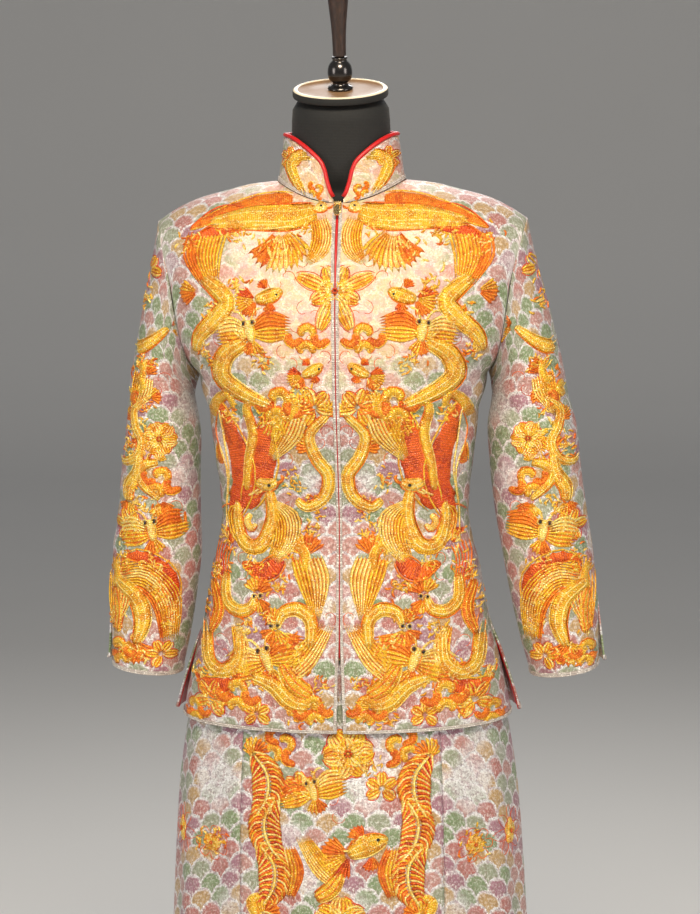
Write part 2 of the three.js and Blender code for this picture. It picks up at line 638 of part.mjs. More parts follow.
// Dress form: rings inside the jacket and skirt, a plain neck, and a hidden pole on a round base
function formTorso() {
  const levels = [FORM_BOTTOM_Z, 820, 880, 940, SKIRT_TOP_Z, WAIST_TOP_Z, 1056, 1100, 1150, 1180, 1220, 1260, 1288,
    1302, 1313, 1323, 1331, 1338];
  const count = 32;
  const rings = levels.map((z) => steps(count).slice(0, count).map((s) => {
    const angle = s * Math.PI * 2;
    const x = Math.sin(angle);
    const facing = Math.cos(angle) >= 0;
    if (z <= WAIST_TOP_Z) {
      const spare = SKIRT_WALL + FORM_CLEAR + read(SKIRT, 'z', z, 'fold') * 1.3;
      const half = read(SKIRT, 'z', Math.min(z, SKIRT_TOP_Z), 'half') - spare;
      const deep = read(SKIRT, 'z', Math.min(z, SKIRT_TOP_Z), facing ? 'front' : 'back') - spare;
      return new THREE.Vector3(half * x, (facing ? -1 : 1) * deep * squared(Math.abs(Math.cos(angle))), z);
    }
    const spare = JACKET_WALL + (facing ? CHEST_CLEAR : BACK_CLEAR);
    if (z <= ARMPIT_Z) {
      const deep = read(BODY, 'z', z, facing ? 'front' : 'back') - spare - 1;
      const half = read(BODY, 'z', z, 'half') - spare;
      return new THREE.Vector3(half * x, (facing ? -1 : 1) * deep * squared(Math.abs(Math.cos(angle))), z);
    }
    let half = read(ARMHOLE, 'z', z, 'x') - spare - 3;
    while (shoulderZ(half) < z + SHOULDER_DROP) half -= 0.25;
    const at = half * Math.sign(x) * Math.abs(x) ** 0.8;
    const round = Math.min(squared(Math.abs(Math.cos(angle))) * 2.2, 1);
    const neck = z > NECK_FROM_Z ? NECK_DEEP * Math.sqrt(Math.max(1 - (at / NECK_HALF) ** 2, 0)) : 0;
    const depth = Math.max(bodyDepth(Math.abs(at), z, facing, spare, SHOULDER_DROP) * round, neck);
    return new THREE.Vector3(at, (facing ? -1 : 1) * depth, z);
  }));
  for (const r of NECK_RINGS) {
    rings.push(steps(count).slice(0, count).map((s) => new THREE.Vector3(
      r.half * Math.sin(s * Math.PI * 2),
      r.y - r.deep * Math.cos(s * Math.PI * 2),
      r.z,
    )));
  }
  rings.push(steps(count).slice(0, count).map((s) => {
    const flat = new THREE.Vector3(
      NECK_TOP_RADIUS * Math.sin(s * Math.PI * 2),
      -NECK_TOP_RADIUS * Math.cos(s * Math.PI * 2) * 0.94,
      0,
    );
    return flat.applyAxisAngle(new THREE.Vector3(1, 0, 0), CAP_TILT).add(new THREE.Vector3(0, -7, NECK_TOP_Z));
  }));
  return closedLoft(rings);
}

// Closed body over a stack of rings, its ends closed by fans
function closedLoft(rings) {
  const count = rings[0].length;
  const position = rings.flat().flatMap((p) => [p.x, p.y, p.z]);
  const index = [];
  for (let k = 0; k < rings.length - 1; k += 1) {
    for (let i = 0; i < count; i += 1) {
      const a = k * count + i;
      const b = k * count + (i + 1) % count;
      index.push(a, b, b + count, a, b + count, a + count);
    }
  }
  for (const [k, flip] of [[0, true], [rings.length - 1, false]]) {
    const middle = rings[k].reduce((sum, p) => sum.add(p), new THREE.Vector3()).divideScalar(count);
    const hub = position.length / 3;
    position.push(middle.x, middle.y, middle.z);
    for (let i = 0; i < count; i += 1) {
      const a = k * count + i;
      const b = k * count + (i + 1) % count;
      index.push(hub, flip ? b : a, flip ? a : b);
    }
  }
  const geometry = new THREE.BufferGeometry();
  geometry.setAttribute('position', new THREE.Float32BufferAttribute(position, 3));
  geometry.setIndex(index);
  return facingOut(geometry);
}

const lathe = (profile, segments) => new THREE.LatheGeometry(
  profile.map(([r, z]) => new THREE.Vector2(r, z)), segments,
).rotateX(Math.PI / 2);

const CAP_PROFILE = [
  [0, 0], [CAP_RADIUS - 1.5, 0], [CAP_RADIUS, 1.5], [CAP_RADIUS, 6.5], [CAP_RADIUS - 2, CAP_HEIGHT - 0.5],
  [CAP_RADIUS - 5, CAP_HEIGHT - 0.5], [CAP_RADIUS - 7, CAP_HEIGHT - 2.2], [0, CAP_HEIGHT - 2.2],
];
const KNOB_PROFILE = [
  [0, 0], [12.5, 0], [13, 1.5], [12, 3.5], [8.5, 4.5], [7.5, 7], [10, 9], [12.2, 13], [12.6, 18], [12, 23],
  [10, 27], [7.2, 29.5], [7.2, 31], [8, 32], [8, 33.5], [0, 33.5],
];
const HANDLE_PROFILE = [
  [0, 0], [6.4, 0], [6.9, 2], [7.2, 22], [9, 44], [11, 64], [12.2, 74], [11.4, 82], [7.5, 87.5], [0, 89.5],
];

// Manifold joins and cuts
const wasm = await Module();
wasm.setup();
function solid(geometry) {
  const plain = geometry.clone();
  for (const name of Object.keys(plain.attributes)) {
    if (name !== 'position') plain.deleteAttribute(name);
  }
  const merged = mergeVertices(plain, 1e-4);
  return new wasm.Manifold(new wasm.Mesh({
    numProp: 3,
    vertProperties: new Float32Array(merged.attributes.position.array),
    triVerts: new Uint32Array(merged.index.array),
  }));
}
function fromSolid(body) {
  const mesh = body.getMesh();
  const geometry = new THREE.BufferGeometry();
  geometry.setAttribute('position', new THREE.BufferAttribute(new Float32Array(mesh.vertProperties), 3));
  geometry.setIndex([...mesh.triVerts]);
  geometry.computeVertexNormals();
  return geometry;
}

function rounded(width, height, depth, radius) {
  const shape = new THREE.Shape();
  const w = width / 2;
  shape.moveTo(-w + radius, 0);
  shape.lineTo(w - radius, 0);
  shape.quadraticCurveTo(w, 0, w, radius);
  shape.lineTo(w, height - radius);
  shape.quadraticCurveTo(w, height, w - radius, height);
  shape.lineTo(-w + radius, height);
  shape.quadraticCurveTo(-w, height, -w, height - radius);
  shape.lineTo(-w, radius);
  shape.quadraticCurveTo(-w, 0, -w + radius, 0);
  return new THREE.ExtrudeGeometry(shape, { depth, bevelEnabled: false, curveSegments: 3 });
}
const bar = (radius, length, segments) => new THREE.CylinderGeometry(radius, radius, length, segments)
  .rotateZ(Math.PI / 2);

// Slider: a body with two ears that hold a pin; local z points away from the cloth and y runs up it
const PIN_OUT = 4.8;
const PIN_UP = 3.5;
function sliderGeometry() {
  const plate = solid(rounded(8.4, 12.6, 2.4, 2).translate(0, -6.3, 0));
  const ear = (x) => solid(new THREE.BoxGeometry(0.9, 3, 5).translate(x, PIN_UP, 3.9));
  const pin = solid(bar(PIN_RADIUS, 8, 10).translate(0, PIN_UP, PIN_OUT));
  return fromSolid(plate.add(ear(-3.2)).add(ear(3.2)).add(pin));
}
function pullGeometry() {
  const eye = solid(bar(2, 4.4, 14));
  const blade = solid(rounded(4, 11, 1.2, 1).translate(0, -11, -0.6));
  const grip = solid(rounded(5.4, 7.5, 1.8, 1.6).translate(0, -17.4, -0.9));
  const hole = solid(bar(EYE_RADIUS, 8, 14));
  return fromSolid(eye.add(blade).add(grip).subtract(hole));
}

// Looks
const look = (color, roughness, metalness) => new THREE.MeshStandardMaterial({ color, roughness, metalness });
const brocade = () => look(0xb9b0a6, 0.45, 0.35);
const silver = () => look(0xd8d6d0, 0.4, 0.5);
const red = () => look(0xc01020, 0.5, 0);
const blackCloth = () => look(0x101012, 0.85, 0);
const steel = () => look(0x55585c, 0.35, 0.9);

const group = new THREE.Group();
function add(name, geometry, material, parent = group) {
  const mesh = new THREE.Mesh(geometry, material);
  mesh.name = name;
  parent.add(mesh);
  return mesh;
}

// Jacket
add('front_left', frontLeft.wall(JACKET_WALL), brocade());
add('front_right', frontRight.wall(JACKET_WALL), brocade());
add('back', back.wall(JACKET_WALL), brocade());
for (const [name, sheet] of Object.entries(sleeves)) {
  add(name, sheet.wall(JACKET_WALL), brocade());
  const end = sheet.plain[0].length - 1;
  add(name.replace('sleeve', 'cuff'), trimOn(sheet, 0, SLEEVE_STEPS, end - 1, end), silver());
}
add('collar', collar.wall(COLLAR_WALL), brocade());
add('collar_band', trimOn(collar, 1, collar.plain.length - 2, 0, 1), silver());
add('collar_piping', collarPiping(), red());

const rowsUp = HEIGHTS.length - 1;
const lastColumn = COLUMNS.length - 1;
add('edge_left', trimOn(frontLeft, 0, 1, 0, rowsUp), silver());
add('edge_right', trimOn(frontRight, 0, 1, 0, rowsUp), silver());
add('hem_front_left', trimOn(frontLeft, 1, lastColumn, 0, 1), silver());
add('hem_front_right', trimOn(frontRight, 1, lastColumn, 0, 1), silver());
add('hem_back', trimOn(back, 0, backPoints.length - 1, 0, 1), silver());

// Red facings inside the back at the side slits
const inside = -(JACKET_WALL + TRIM_LIFT);
const backEnd = backPoints.length - 1;
add('facing_left', trimOn(back, backEnd - 1, backEnd, 0, SLIT_ROW, inside, -TRIM_WALL), red());
add('facing_right', trimOn(back, 0, 1, 0, SLIT_ROW, inside, -TRIM_WALL), red());

// Zip: two red tapes inside the front edges, a slider at the top and its pull
const TAPE_FROM = SLIT_ROW - 1;
for (const [name, sheet] of [['zip_tape_left', frontLeft], ['zip_tape_right', frontRight]]) {
  add(name, trimOn(sheet, 0, 1, TAPE_FROM, rowsUp - 1, inside, -TRIM_WALL), red());
}
const slider = new THREE.Group();
const chest = bodyDepth(0, SLIDER_Z, true);
slider.position.set(0, -chest, SLIDER_Z);
slider.rotation.x = Math.PI / 2 - SLIDER_TILT;
group.add(slider);
const sliderMesh = add('zip_slider', sliderGeometry(), look(0xc9a24a, 0.3, 0.9), slider);
const pullMesh = add('zip_pull', pullGeometry(), look(0xd8bc78, 0.3, 0.9), slider);
sliderMesh.position.z = SLIDER_LIFT;
pullMesh.position.set(0, PIN_UP, SLIDER_LIFT + PIN_OUT);
pullMesh.rotation.x = -PULL_LEAN;

// Skirt
for (const [name, sheet] of Object.entries(skirts)) add(name, sheet.wall(SKIRT_WALL), brocade());
add('skirt_waistband', waistband(), red());

// Dress form
add('form_torso', formTorso(), blackCloth());
const top = new THREE.Group();
top.position.set(0, -7, NECK_TOP_Z);
top.rotation.x = CAP_TILT;
group.add(top);
const capMesh = add('form_cap', lathe(CAP_PROFILE, 32), look(0xc8a878, 0.5, 0), top);
capMesh.position.z = SEAM;
const knobMesh = add('form_knob', lathe(KNOB_PROFILE, 18), look(0x2a2624, 0.15, 1), top);
knobMesh.position.z = CAP_HEIGHT - 2.2 + SEAM * 2;
const handleMesh = add('form_handle', lathe(HANDLE_PROFILE, 16), look(0x3a2318, 0.5, 0), top);
handleMesh.position.z = CAP_HEIGHT - 2.2 + SEAM * 3 + 33.5;

const pole = new THREE.CylinderGeometry(POLE_RADIUS, POLE_RADIUS, FORM_BOTTOM_Z - BASE_HEIGHT - SEAM * 2, 24);
pole.rotateX(Math.PI / 2);
pole.translate(0, 0, (FORM_BOTTOM_Z + BASE_HEIGHT) / 2);
add('stand_pole', pole, steel());
const BASE_PROFILE = [[0, 0], [BASE_RADIUS, 0], [BASE_RADIUS, 8], [BASE_RADIUS - 4, STAND_LIFT], [40, BASE_HEIGHT],
  [0, BASE_HEIGHT]];
add('stand_base', lathe(BASE_PROFILE, 32), steel());

export default group;
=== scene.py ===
"""Finished cloth, embroidery and form for a two-piece Chinese wedding dress."""
import bisect
import random
from math import asin, copysign, cos, degrees, dist, exp, hypot, pi, radians, sin, sqrt, tau

import bmesh
import bpy
from mathutils import Matrix, Vector
from mathutils.bvhtree import BVHTree


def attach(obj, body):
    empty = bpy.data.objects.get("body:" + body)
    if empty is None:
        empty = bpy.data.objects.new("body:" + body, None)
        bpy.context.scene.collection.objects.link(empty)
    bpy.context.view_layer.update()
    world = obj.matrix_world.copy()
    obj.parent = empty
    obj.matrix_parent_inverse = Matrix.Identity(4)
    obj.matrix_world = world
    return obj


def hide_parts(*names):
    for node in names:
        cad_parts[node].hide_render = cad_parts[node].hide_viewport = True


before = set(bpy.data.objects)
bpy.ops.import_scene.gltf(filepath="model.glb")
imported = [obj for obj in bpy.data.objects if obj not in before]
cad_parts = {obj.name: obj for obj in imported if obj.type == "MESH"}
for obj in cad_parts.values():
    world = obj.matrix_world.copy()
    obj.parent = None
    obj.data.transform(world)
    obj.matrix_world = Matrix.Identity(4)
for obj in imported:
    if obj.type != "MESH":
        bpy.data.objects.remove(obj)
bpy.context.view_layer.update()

bl_info = {
    "name": "Embroidered wedding jacket and skirt",
    "version": (1, 0, 0),
    "blender": (4, 5, 0),
    "location": "View3D > Sidebar > Dress",
    "description": "Makes the finished cloth, embroidery, trims and dress form over the solid pieces",
    "category": "Object",
}


# Sizes in millimetres, as the solid pieces have them
def table(columns, *rows):
    return dict(zip(columns.split(), zip(*rows)))


BODY = table(
    "z half front back gap flare",
    (795, 173, 114, 118, 3.2, 10),
    (818, 168.5, 113, 116, 2.7, 8.2),
    (860, 159, 109, 111, 1.4, 4),
    (900, 148.5, 104, 103, 0.5, 0),
    (944, 141.5, 97, 92, 0.3, 0),
    (1007, 129, 89, 79, 0.3, 0),
    (1070, 135, 101, 83, 0.3, 0),
    (1112, 141, 112, 89, 0.3, 0),
    (1152, 150, 119, 93, 0.3, 0),
    (1215, 150, 119, 97, 0.3, 0),
    (1300, 150, 108, 92, 1.2, 0),
    (1351, 150, 104, 88, 0.8, 0),
)
ARMHOLE = table("z x", (1152, 150), (1175, 160), (1215, 168), (1260, 176), (1300, 187), (1311, 190))
SHOULDER = table("x z", (65, 1351), (92, 1348), (121, 1341), (150, 1333), (175, 1321), (190, 1311))
SLEEVE_RIGHT = table(
    "z x y half deep",
    (846, -212, -19, 39.5, 50),
    (881, -207, -17, 42.5, 52),
    (923, -202.5, -15, 45.5, 54),
    (965, -197.5, -12, 46, 56),
    (1007, -195, -9, 43, 57),
    (1049, -193, -6, 41, 58),
    (1091, -190, -3, 38.8, 58),
    (1128, -191, -1, 34, 58),
)
SLEEVE_LEFT = table(
    "z x y half deep",
    (846, 232, -19, 39, 50),
    (881, 225, -17, 42, 52),
    (923, 217.5, -15, 44.5, 54),
    (965, 211.5, -12, 46.5, 56),
    (1007, 204.5, -9, 47.3, 57),
    (1049, 199, -6, 47, 58),
    (1091, 195.5, -3, 46.6, 58),
    (1128, 193, -1, 39.5, 58),
)
COLLAR = table(
    "angle height",
    (4.5, 3), (8.6, 10.5), (13.3, 28), (17, 35.5), (24.6, 41), (37, 45.5), (50, 47), (90, 43.5), (180, 43),
)
SKIRT = table(
    "z half front back panel fold",
    (40, 214, 152, 158, 114, 9),
    (300, 203, 142, 147, 110, 8),
    (500, 193, 134, 138, 107, 6.5),
    (629, 186, 127, 130, 105, 5),
    (713, 180, 120, 123, 104, 3.5),
    (776, 171, 111, 115, 102, 1.5),
    (818, 162.5, 106.5, 109.5, 98, 0.6),
    (860, 152.5, 102.5, 104.5, 93, 0),
    (900, 142, 97.5, 96.5, 88, 0),
    (944, 135, 90.5, 85.5, 84, 0),
    (1010, 122, 82, 72, 78, 0),
)
ARMPIT_Z, TIP_X, TIP_Z = 1152, 190, 1311
NECK_X, NECK_SIDE_Z, NECK_FRONT_Y, NECK_BACK_Y, NECK_BACK_RISE = 65, 1351, 56, 52, 28
SHOULDER_ROLL, ARMHOLE_DEPTH, ARMHOLE_MID_Z = 140, 58, 1225
HEM_Z, SLIT_TOP_Z, VENT_TOP_Z, CUFF_Z, CUFF_TILT = 795, 900, 912, 846, 6
SKIRT_TOP_Z, SKIRT_HEM_Z, SQUARENESS, COLLAR_LEAN = 1004, 40, 0.8, 0.1
SEAM = 0.3
NECK_TOP_Z, CAP_TILT = 1436, radians(13)
SLIDER_Z, SLIDER_TILT, SLIDER_LIFT = 1323, radians(40), 1.7
PIN_OUT, PIN_UP = 4.8, 3.5
MM = 0.001

_tangents = {}


def tangents(rows, key, column):
    """Slopes at a table's rows, flat where the column turns."""
    name = (id(rows), column)
    if name not in _tangents:
        xs, ys = rows[key], rows[column]
        slopes = [(ys[i + 1] - ys[i]) / (xs[i + 1] - xs[i]) for i in range(len(xs) - 1)]
        inner = [0 if a * b <= 0 else 2 * a * b / (a + b) for a, b in zip(slopes, slopes[1:])]
        _tangents[name] = [slopes[0], *inner, slopes[-1]]
    return _tangents[name]


def read(rows, key, at, column):
    """Smooth reading of a table between its rows."""
    xs, ys = rows[key], rows[column]
    if at <= xs[0]:
        return ys[0]
    if at >= xs[-1]:
        return ys[-1]
    slopes = tangents(rows, key, column)
    i = bisect.bisect_right(xs, at) - 1
    span = xs[i + 1] - xs[i]
    t = (at - xs[i]) / span
    t2, t3 = t * t, t * t * t
    return ((2 * t3 - 3 * t2 + 1) * ys[i] + (t3 - 2 * t2 + t) * span * slopes[i]
        + (3 * t2 - 2 * t3) * ys[i + 1] + (t3 - t2) * span * slopes[i + 1])


def lerp(a, b, t):
    return a + (b - a) * t


def clamp(value, low=0.0, high=1.0):
    return min(max(value, low), high)


# Jacket body
def shoulder_z(x):
    return read(SHOULDER, "x", x, "z") if x >= NECK_X else NECK_SIDE_Z


def roll_at(z, crest):
    t = clamp((crest - z) / SHOULDER_ROLL)
    return sqrt(1 - (1 - t) ** 2)


def crest_z(x, front):
    rise = 0 if front or x >= NECK_X else NECK_BACK_RISE * (1 - (x / NECK_X) ** 2)
    return shoulder_z(x) + rise


def armhole_point(angle, front):
    reach = TIP_Z - ARMHOLE_MID_Z if cos(angle) > 0 else ARMHOLE_MID_Z - ARMPIT_Z
    z = ARMHOLE_MID_Z + reach * cos(angle)
    side = -1 if front else 1
    return Vector((read(ARMHOLE, "z", z, "x"), side * ARMHOLE_DEPTH * sin(angle), z))


def oval_half(z, front):
    if z <= ARMPIT_Z:
        return read(BODY, "z", z, "half")
    height = min(z, TIP_Z - 1)
    reach = TIP_Z - ARMHOLE_MID_Z if height > ARMHOLE_MID_Z else ARMHOLE_MID_Z - ARMPIT_Z
    seam_x = read(ARMHOLE, "z", height, "x")
    seam_y = ARMHOLE_DEPTH * sqrt(1 - ((height - ARMHOLE_MID_Z) / reach) ** 2)
    depth = read(BODY, "z", height, "front" if front else "back") * roll_at(height, crest_z(seam_x, front))
    cosine = min(seam_y / depth, 0.95) ** (1 / SQUARENESS)
    return seam_x / sqrt(1 - cosine * cosine)


def body_depth(x, z, front):
    half = oval_half(z, front)
    cosine = sqrt(max(1 - (x / half) ** 2, 0))
    depth = read(BODY, "z", z, "front" if front else "back")
    return depth * cosine ** SQUARENESS * roll_at(z, crest_z(x, front))


def neck_z(x, front):
    reach = NECK_FRONT_Y if front else NECK_BACK_Y
    wanted = reach * sqrt(max(1 - (x / NECK_X) ** 2, 0))
    roll = min(wanted / read(BODY, "z", NECK_SIDE_Z, "front" if front else "back"), 1)
    return crest_z(x, front) - SHOULDER_ROLL * (1 - sqrt(1 - roll * roll))


LOWER_SHARE = 0.68


def row_level(v):
    """Height of a row on the armhole side: straight below the armpit, closer together at the shoulder."""
    if v <= LOWER_SHARE:
        return lerp(HEM_Z, ARMPIT_Z, v / LOWER_SHARE)
    return armhole_point(pi * (1 - (v - LOWER_SHARE) / (1 - LOWER_SHARE)), True).z


def level_row(level):
    """The row whose level this is, for levels below the armpit."""
    return (level - HEM_Z) / (ARMPIT_Z - HEM_Z) * LOWER_SHARE


def jacket_point(u, v, front):
    """Jacket surface on the wearer's left: u from the centre line to the side, v from hem to top."""
    side = -1 if front else 1
    part = sin(abs(u) * pi / 2)
    shoulder_x = part * TIP_X
    level = row_level(v)
    top = neck_z(shoulder_x, front) if shoulder_x < NECK_X else shoulder_z(shoulder_x)
    share = (level - ARMPIT_Z) / (TIP_Z - ARMPIT_Z)
    z = level if level <= ARMPIT_Z else ARMPIT_Z + share * (top - ARMPIT_Z)
    flare = 0 if front else read(BODY, "z", z, "flare") * part ** 6
    reach = read(BODY, "z", z, "half") if z <= ARMPIT_Z else read(ARMHOLE, "z", z, "x")
    gap = read(BODY, "z", z, "gap") * (1 - part) if front else 0
    x = part * reach + gap
    depth = body_depth(min(x, reach), z, front)
    return Vector((copysign(x + flare, u), side * (depth + SEAM / 2), z)) * MM


# Sleeves
ARM_X, ARM_INNER_X, ARM_TOP_Z = 0.2, 0.151, 1.25
RING_TOP = 1128
CAP_SHARE = 0.3


def ring_point(rows, side, angle, level, front):
    half = read(rows, "z", level, "half")
    turn = -1 if front else 1
    drop = (RING_TOP - level) / (RING_TOP - CUFF_Z)
    vent = max((VENT_TOP_Z - level) / (VENT_TOP_Z - CUFF_Z), 0)
    opened = vent * 7 * max(cos(angle), 0) ** 3 if front else 0
    return Vector((read(rows, "z", level, "x") + side * (half * cos(angle) - opened),
        read(rows, "z", level, "y") + turn * (read(rows, "z", level, "deep") * sin(angle) + 0.15
        + opened * 0.3), level + CUFF_TILT * drop * cos(angle),))


def sleeve_point(u, v, rows, side, front):
    """Sleeve surface: u from the outer seam to the inner one, v from the cuff to the armhole."""
    angle, turn = u * pi, -1 if front else 1
    if v <= 1 - CAP_SHARE:
        return ring_point(rows, side, angle, lerp(CUFF_Z, RING_TOP, v / (1 - CAP_SHARE)), front) * MM
    start = armhole_point(angle, front)
    start = Vector((side * (start.x + SEAM * 1.2), start.y + turn * SEAM / 2, start.z))
    end = ring_point(rows, side, angle, RING_TOP, front)
    length = (start - end).length
    outer = max(cos(angle), 0)
    out = Vector((side * (0.4 - 0.25 * outer), -0.1 * turn * sin(angle), -1)).normalized() * 0.55 * length
    t = (1 - v) / CAP_SHARE
    t2, t3 = t * t, t * t * t
    down = Vector((side * 0.12 * outer, 0, -1)) * 0.9 * length
    return (start * (2 * t3 - 3 * t2 + 1) + out * (t3 - 2 * t2 + t) + end * (3 * t2 - 2 * t3)
        + down * (t3 - t2)) * MM


# Collar
COLLAR_START = asin(5.2 / NECK_X)


def collar_point(u, v):
    """Collar surface: u round the neck from the wearer's left front edge, v up from the neck seam."""
    turn = lerp(COLLAR_START, 2 * pi - COLLAR_START, u)
    folded = min(turn, 2 * pi - turn)
    front = folded < pi / 2
    x = NECK_X * sin(folded)
    y = -(NECK_FRONT_Y if front else NECK_BACK_Y) * cos(folded)
    height = read(COLLAR, "angle", degrees(folded), "height")
    shrink = 1 - COLLAR_LEAN * v * height / 48
    x = x if turn <= pi else -x
    return Vector((x * shrink, y * shrink, neck_z(abs(x), front) + SEAM + 0.2 + v * height)) * MM


# Skirt
def skirt_ring(angle, z, folded=True):
    column = "front" if cos(angle) >= 0 else "back"
    half = read(SKIRT, "z", z, "half")
    x = half * sin(angle)
    y = -copysign(read(SKIRT, "z", z, column) * abs(cos(angle)) ** SQUARENESS, cos(angle))
    edge = asin(min(read(SKIRT, "z", z, "panel") / half, 0.95))
    across = (min(angle, pi - angle) - edge) / (pi / 2 - edge)
    wave = cos(across * pi * 4) * 0.5 - 0.5 if across > 0 else 0
    out = Vector((x / half, y / half, 0)).normalized()
    return Vector((x, y, z)) + out * (wave * read(SKIRT, "z", z, "fold") if folded else 0)


def skirt_point(u, v, panel):
    """Skirt surface: u across a panel, v from the hem to the waist."""
    z = lerp(SKIRT_HEM_Z, SKIRT_TOP_Z, v)
    half = read(SKIRT, "z", z, "half")
    edge = asin(read(SKIRT, "z", z, "panel") / half)
    gap = SEAM * 0.7 / half
    if panel in ("left", "right"):
        p = skirt_ring(lerp(edge + gap, pi - edge - gap, u), z)
        return Vector((p.x if panel == "left" else -p.x, p.y, p.z)) * MM
    turn = lerp(-edge + gap, edge - gap, u)
    p = skirt_ring(abs(turn), z)
    y = p.y if panel == "front" else skirt_ring(pi - abs(turn), z).y
    return Vector((copysign(p.x, turn), y, z)) * MM


# Mesh helpers
def finished(name, bm, materials, smooth=True):
    """Object from a bmesh, at the origin."""
    mesh = bpy.data.meshes.new(name)
    bm.to_mesh(mesh)
    bm.free()
    for material in materials:
        mesh.materials.append(material)
    for polygon in mesh.polygons:
        polygon.use_smooth = smooth
    piece = bpy.data.objects.new(name, mesh)
    bpy.context.scene.collection.objects.link(piece)
    return piece


def lay_grid(bm, across, along, place, uv_at, material=0, tint=None, merge=False):
    """A grid whose points are placed by their shares across and along it."""
    uv = bm.loops.layers.uv.verify()
    made = bmesh.ops.create_grid(bm, x_segments=across, y_segments=along, size=1)["verts"]
    layer = bm.verts.layers.float.get("tint") if tint is not None else None
    faces = set()
    for vert in made:
        s, t = (vert.co.x + 1) / 2, (vert.co.y + 1) / 2
        at = uv_at(s, t)
        for loop in vert.link_loops:
            loop[uv].uv = at
            faces.add(loop.face)
        vert.co = place(s, t)
        if layer is not None:
            vert[layer] = tint(s, t) if callable(tint) else tint
    if material:
        for face in faces:
            face.material_index = material
    if merge:
        bmesh.ops.remove_doubles(bm, verts=made, dist=1e-6)


def crease_depth(creases, a, z):
    """Depth of the soft troughs (below zero) and ridges over a point, in millimetres."""
    total = 0.0
    for a0, z0, a1, z1, width, depth in creases:
        da, dz = a1 - a0, z1 - z0
        t = clamp(((a - a0) * da + (z - z0) * dz) / (da * da + dz * dz))
        away = hypot(a - a0 - t * da, z - z0 - t * dz) / width
        if away < 2.4:
            total += depth * exp(-away * away) * (0.35 + 0.65 * sin(pi * clamp(t * 0.9 + 0.05)))
    return total


CREASE_FREE_ROWS = 5


class Cloth:
    """A panel of cloth: its grid of points with creases, and its measured lengths for the pattern."""

    def __init__(self, point, across, along, creases=(), skew=0.0, origin=0.0):
        self.across, self.along, self.skew = across, along, skew
        rows = [[point(i / across, j / along) for j in range(along + 1)] for i in range(across + 1)]
        flat = [[p.copy() for p in row] for row in rows]
        for i in range(across + 1):
            for j in range(along + 1):
                p = flat[i][j]
                rim = clamp(min(j, along - j) / CREASE_FREE_ROWS)
                depth = crease_depth(creases, abs(p.x) / MM, p.z / MM) * rim
                if depth:
                    rows[i][j] = p + self.normal_of(flat, i, j) * depth * MM
        self.rows = rows
        start = round(origin * across)
        self.u = [[0.0] * (along + 1) for _ in range(across + 1)]
        self.v = [[0.0] * (along + 1) for _ in range(across + 1)]
        for j in range(along + 1):
            for i in range(start + 1, across + 1):
                self.u[i][j] = self.u[i - 1][j] + (flat[i][j] - flat[i - 1][j]).length
            for i in range(start - 1, -1, -1):
                self.u[i][j] = self.u[i + 1][j] - (flat[i][j] - flat[i + 1][j]).length
        for i in range(across + 1):
            for j in range(1, along + 1):
                self.v[i][j] = self.v[i][j - 1] + (flat[i][j] - flat[i][j - 1]).length
        self.flat = flat

    def normal_of(self, grid, i, j):
        du = grid[min(i + 1, self.across)][j] - grid[max(i - 1, 0)][j]
        dv = grid[i][min(j + 1, self.along)] - grid[i][max(j - 1, 0)]
        n = du.cross(dv)
        if n.length < 1e-12:
            return Vector((0, 0, 1))
        n.normalize()
        p = grid[i][j]
        out = Vector((p.x - self.middle(p), p.y, 0))
        return n if n.dot(out) >= 0 or p.z > 1.3 and n.z > 0 else -n

    def middle(self, p):
        """The line that the sheet goes round, so that its outside is known."""
        return 0.0

    def at(self, s, t):
        return self.rows[round(s * self.across)][round(t * self.along)]

    def uv(self, s, t):
        i, j = round(s * self.across), round(t * self.along)
        return self.u[i][j], self.v[i][j] + self.skew * self.u[i][j]

    def measure(self):
        """Cut width, length and area, in metres."""
        area = 0.0
        for i in range(self.across):
            for j in range(self.along):
                a, b = self.flat[i][j], self.flat[i + 1][j]
                c, d = self.flat[i + 1][j + 1], self.flat[i][j + 1]
                area += ((c - a).cross(d - b)).length / 2
        width = max(self.u[-1][j] - self.u[0][j] for j in range(self.along + 1))
        length = max(row[-1] for row in self.v)
        return width, length, area


class SleeveCloth(Cloth):
    """A panel that goes round an arm below the armhole."""

    def middle(self, p):
        return copysign(ARM_X, p.x) if abs(p.x) > ARM_INNER_X and p.z < ARM_TOP_Z else 0.0


def face_outward(bm, out):
    """Turns an open sheet's faces to the side that a direction at its middle face names."""
    bm.faces.ensure_lookup_table()
    bmesh.ops.recalc_face_normals(bm, faces=bm.faces)
    bm.normal_update()
    score = sum(face.normal.dot(out(face.calc_center_median())) * face.calc_area() for face in bm.faces)
    if score < 0:
        bmesh.ops.reverse_faces(bm, faces=bm.faces)


def away_from(x=0.0, y=0.0, z=None):
    def out(p):
        return Vector((p.x - x, p.y - y, 0 if z is None else p.z - z))
    return out


def sheet_piece(name, cloth, thickness, materials, out):
    """Cloth panel with its wall inside the given surface."""
    bm = bmesh.new()
    lay_grid(bm, cloth.across, cloth.along, cloth.at, cloth.uv)
    bmesh.ops.remove_doubles(bm, verts=bm.verts, dist=1e-6)
    face_outward(bm, out)
    piece = finished(name, bm, materials)
    wall = piece.modifiers.new("Wall", "SOLIDIFY")
    wall.thickness = thickness
    wall.offset = -1
    wall.use_even_offset = False
    return piece


def soften(piece, width, angle):
    """Rounds a piece's sharp edges."""
    edge = piece.modifiers.new("Soft edges", "BEVEL")
    edge.width = width
    edge.segments = 2
    edge.limit_method = "ANGLE"
    edge.angle_limit = radians(angle)


def run_lengths(points):
    """Length along points up to each one."""
    lengths = [0.0]
    for one, two in zip(points, points[1:]):
        lengths.append(lengths[-1] + (two - one).length)
    return lengths


